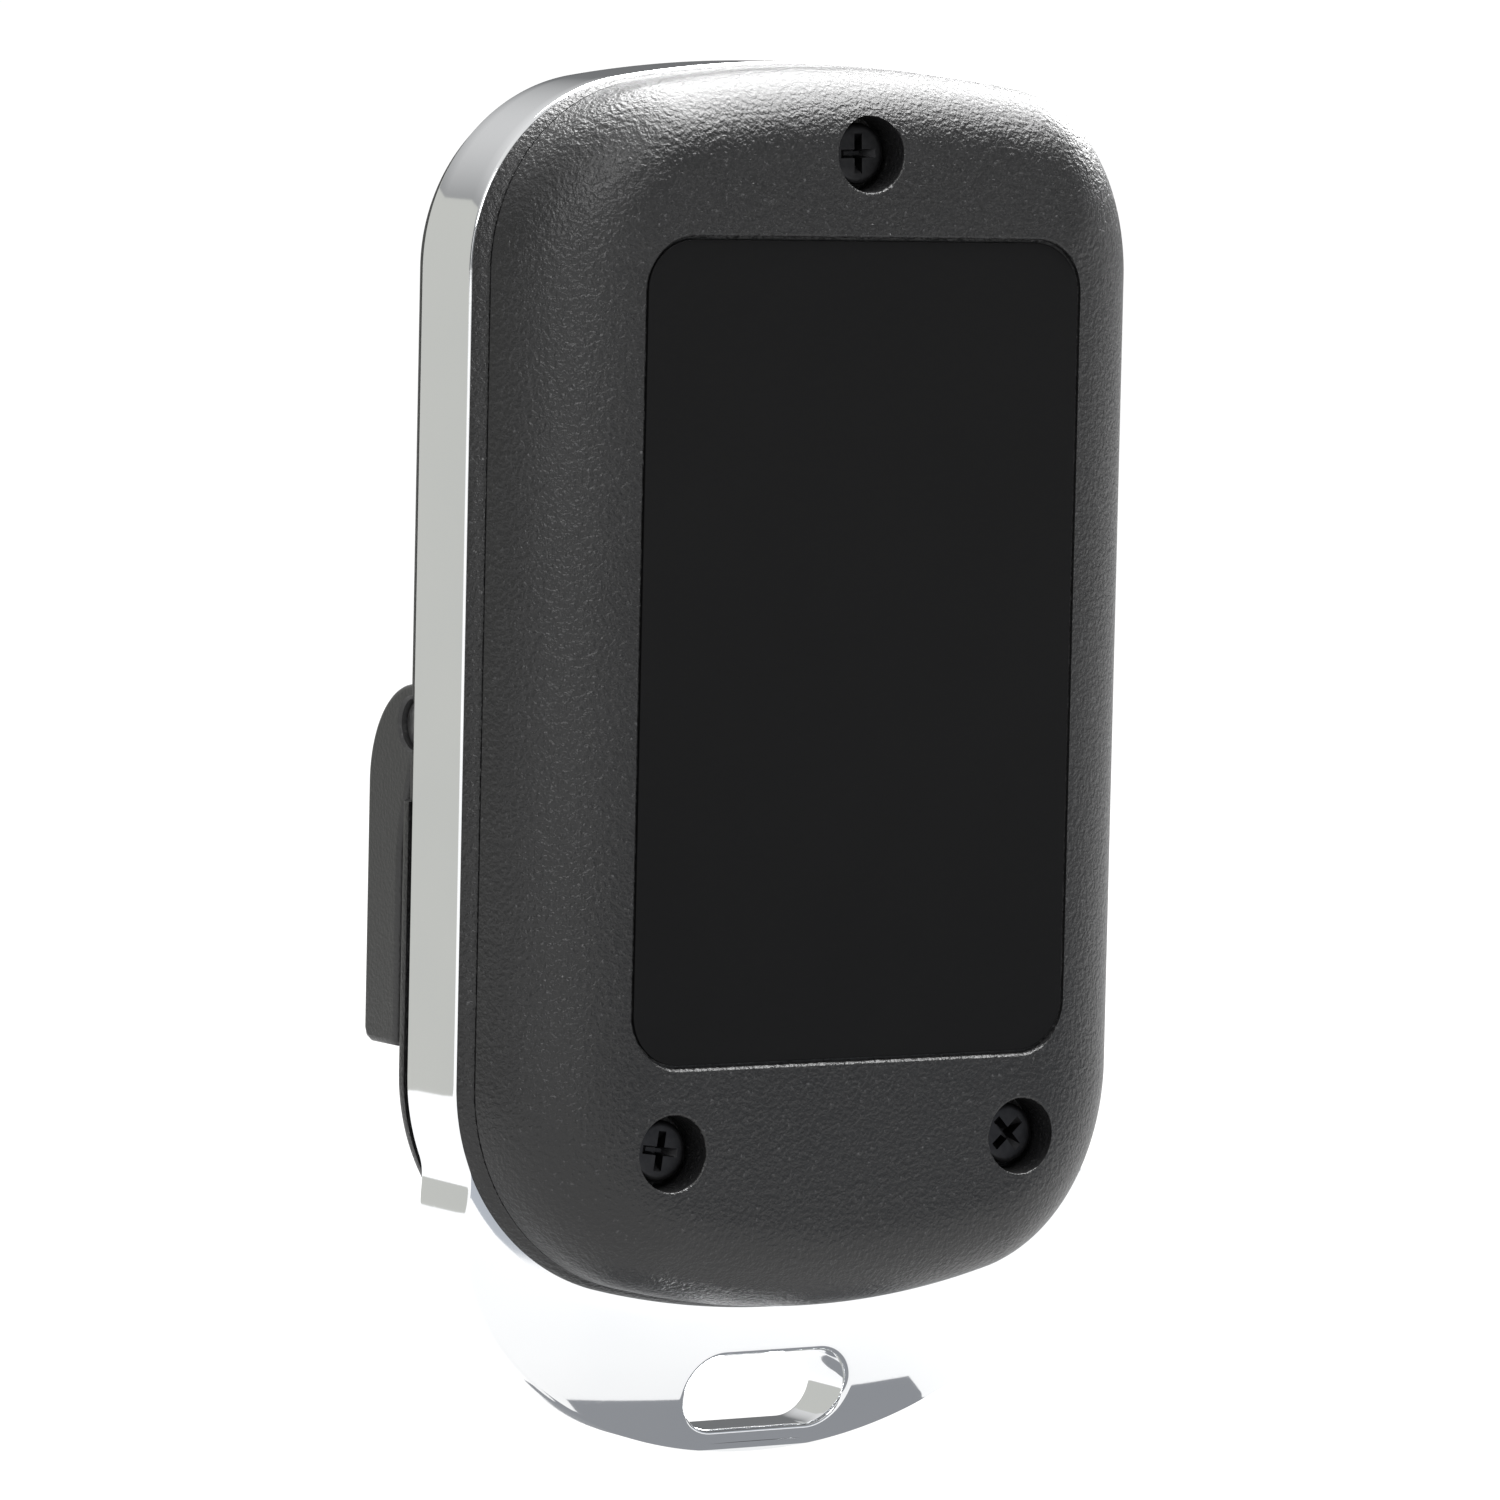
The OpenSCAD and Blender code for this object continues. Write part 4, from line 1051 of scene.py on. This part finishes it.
def makeStage():
    mesh = bpy.data.meshes.new("floor")
    k = 3.0
    mesh.from_pydata([(-k, -k, 0), (k, -k, 0), (k, k, 0), (-k, k, 0)], [], [(0, 1, 2, 3)])
    floor = bpy.data.objects.new("floor", mesh)
    bpy.context.collection.objects.link(floor)
    f = Finish("paleFloor")
    grain = f.noise(60, 3, 0.5)
    mesh.materials.append(f.surface(Base_Color=f.blend(grain, rgb(0.045, 0.045, 0.045),
        rgb(0.05, 0.05, 0.05)), Roughness=0.9,
        Specular_IOR_Level=0.0, Emission_Color=rgb(1, 1, 1), Emission_Strength=1.0))
    makeCard("sideCard", (0.07, -0.085, 0.046), (0.085, 0.052, 0), (0, 0, 0.046), (0.6, 0.605, 0.575))
    makeCard("rimCard", (-0.031, 0.054, 0.0105), (0.05, 0.031, 0), (0, 0, 0.01), (0.52, 0.55, 0.6))
    makeCard("backCard", (-0.17, 0.28, 0.16), (0.2, 0.12, 0), (0, 0, 0.14), (0.2, 0.205, 0.21))
    makeCard("footCard", (0, -0.001, 0.0002), (0.011, 0, 0), (0, 0.005, 0), (0.3, 0.31, 0.33))
    world = bpy.data.worlds.new("studio")
    bpy.context.scene.world = world
    world.use_nodes = True
    tree = world.node_tree
    tree.nodes.clear()
    sky = tree.nodes.new("ShaderNodeTexCoord")
    split = tree.nodes.new("ShaderNodeSeparateXYZ")
    tree.links.new(sky.outputs["Generated"], split.inputs[0])
    ramp = tree.nodes.new("ShaderNodeValToRGB")
    stops = [(0.0, (0.8, 0.8, 0.8, 1)), (0.48, (0.13, 0.135, 0.14, 1)), (0.62, (0.2, 0.205, 0.21, 1)),
        (0.8, (0.85, 0.85, 0.85, 1))]
    while len(ramp.color_ramp.elements) < len(stops):
        ramp.color_ramp.elements.new(0.5)
    for element, (at, colour) in zip(ramp.color_ramp.elements, stops):
        element.position, element.color = at, colour
    lift = tree.nodes.new("ShaderNodeMapRange")
    lift.inputs["From Min"].default_value = -1
    tree.links.new(split.outputs["Z"], lift.inputs["Value"])
    tree.links.new(lift.outputs[0], ramp.inputs[0])
    seen = tree.nodes.new("ShaderNodeLightPath")
    mix = tree.nodes.new("ShaderNodeMix")
    mix.data_type = "RGBA"
    mix.inputs[7].default_value = (1.05, 1.05, 1.05, 1)
    tree.links.new(seen.outputs["Is Camera Ray"], mix.inputs[0])
    tree.links.new(ramp.outputs[0], mix.inputs[6])
    back = tree.nodes.new("ShaderNodeBackground")
    tree.links.new(mix.outputs[2], back.inputs[0])
    back.inputs["Strength"].default_value = 1.0
    out = tree.nodes.new("ShaderNodeOutputWorld")
    tree.links.new(back.outputs[0], out.inputs[0])
    middle = (0, 0, 0.045)
    makeLight("topBox", (-0.12, -0.02, 0.44), middle, (0.66, 0.36), 11.0)
    makeLight("rightBox", (-0.42, -0.22, 0.29), middle, (0.3, 0.22), 3.2)
    makeLight("cornerBox", (0.32, 0.29, 0.26), middle, (0.16, 0.16), 0.75)
    makeLight("leftBox", (0.4, 0.26, 0.05), middle, (0.1, 0.25), 0.07)
    bpy.context.scene.view_settings.view_transform = "Standard"


makeStage()
print("stage made")
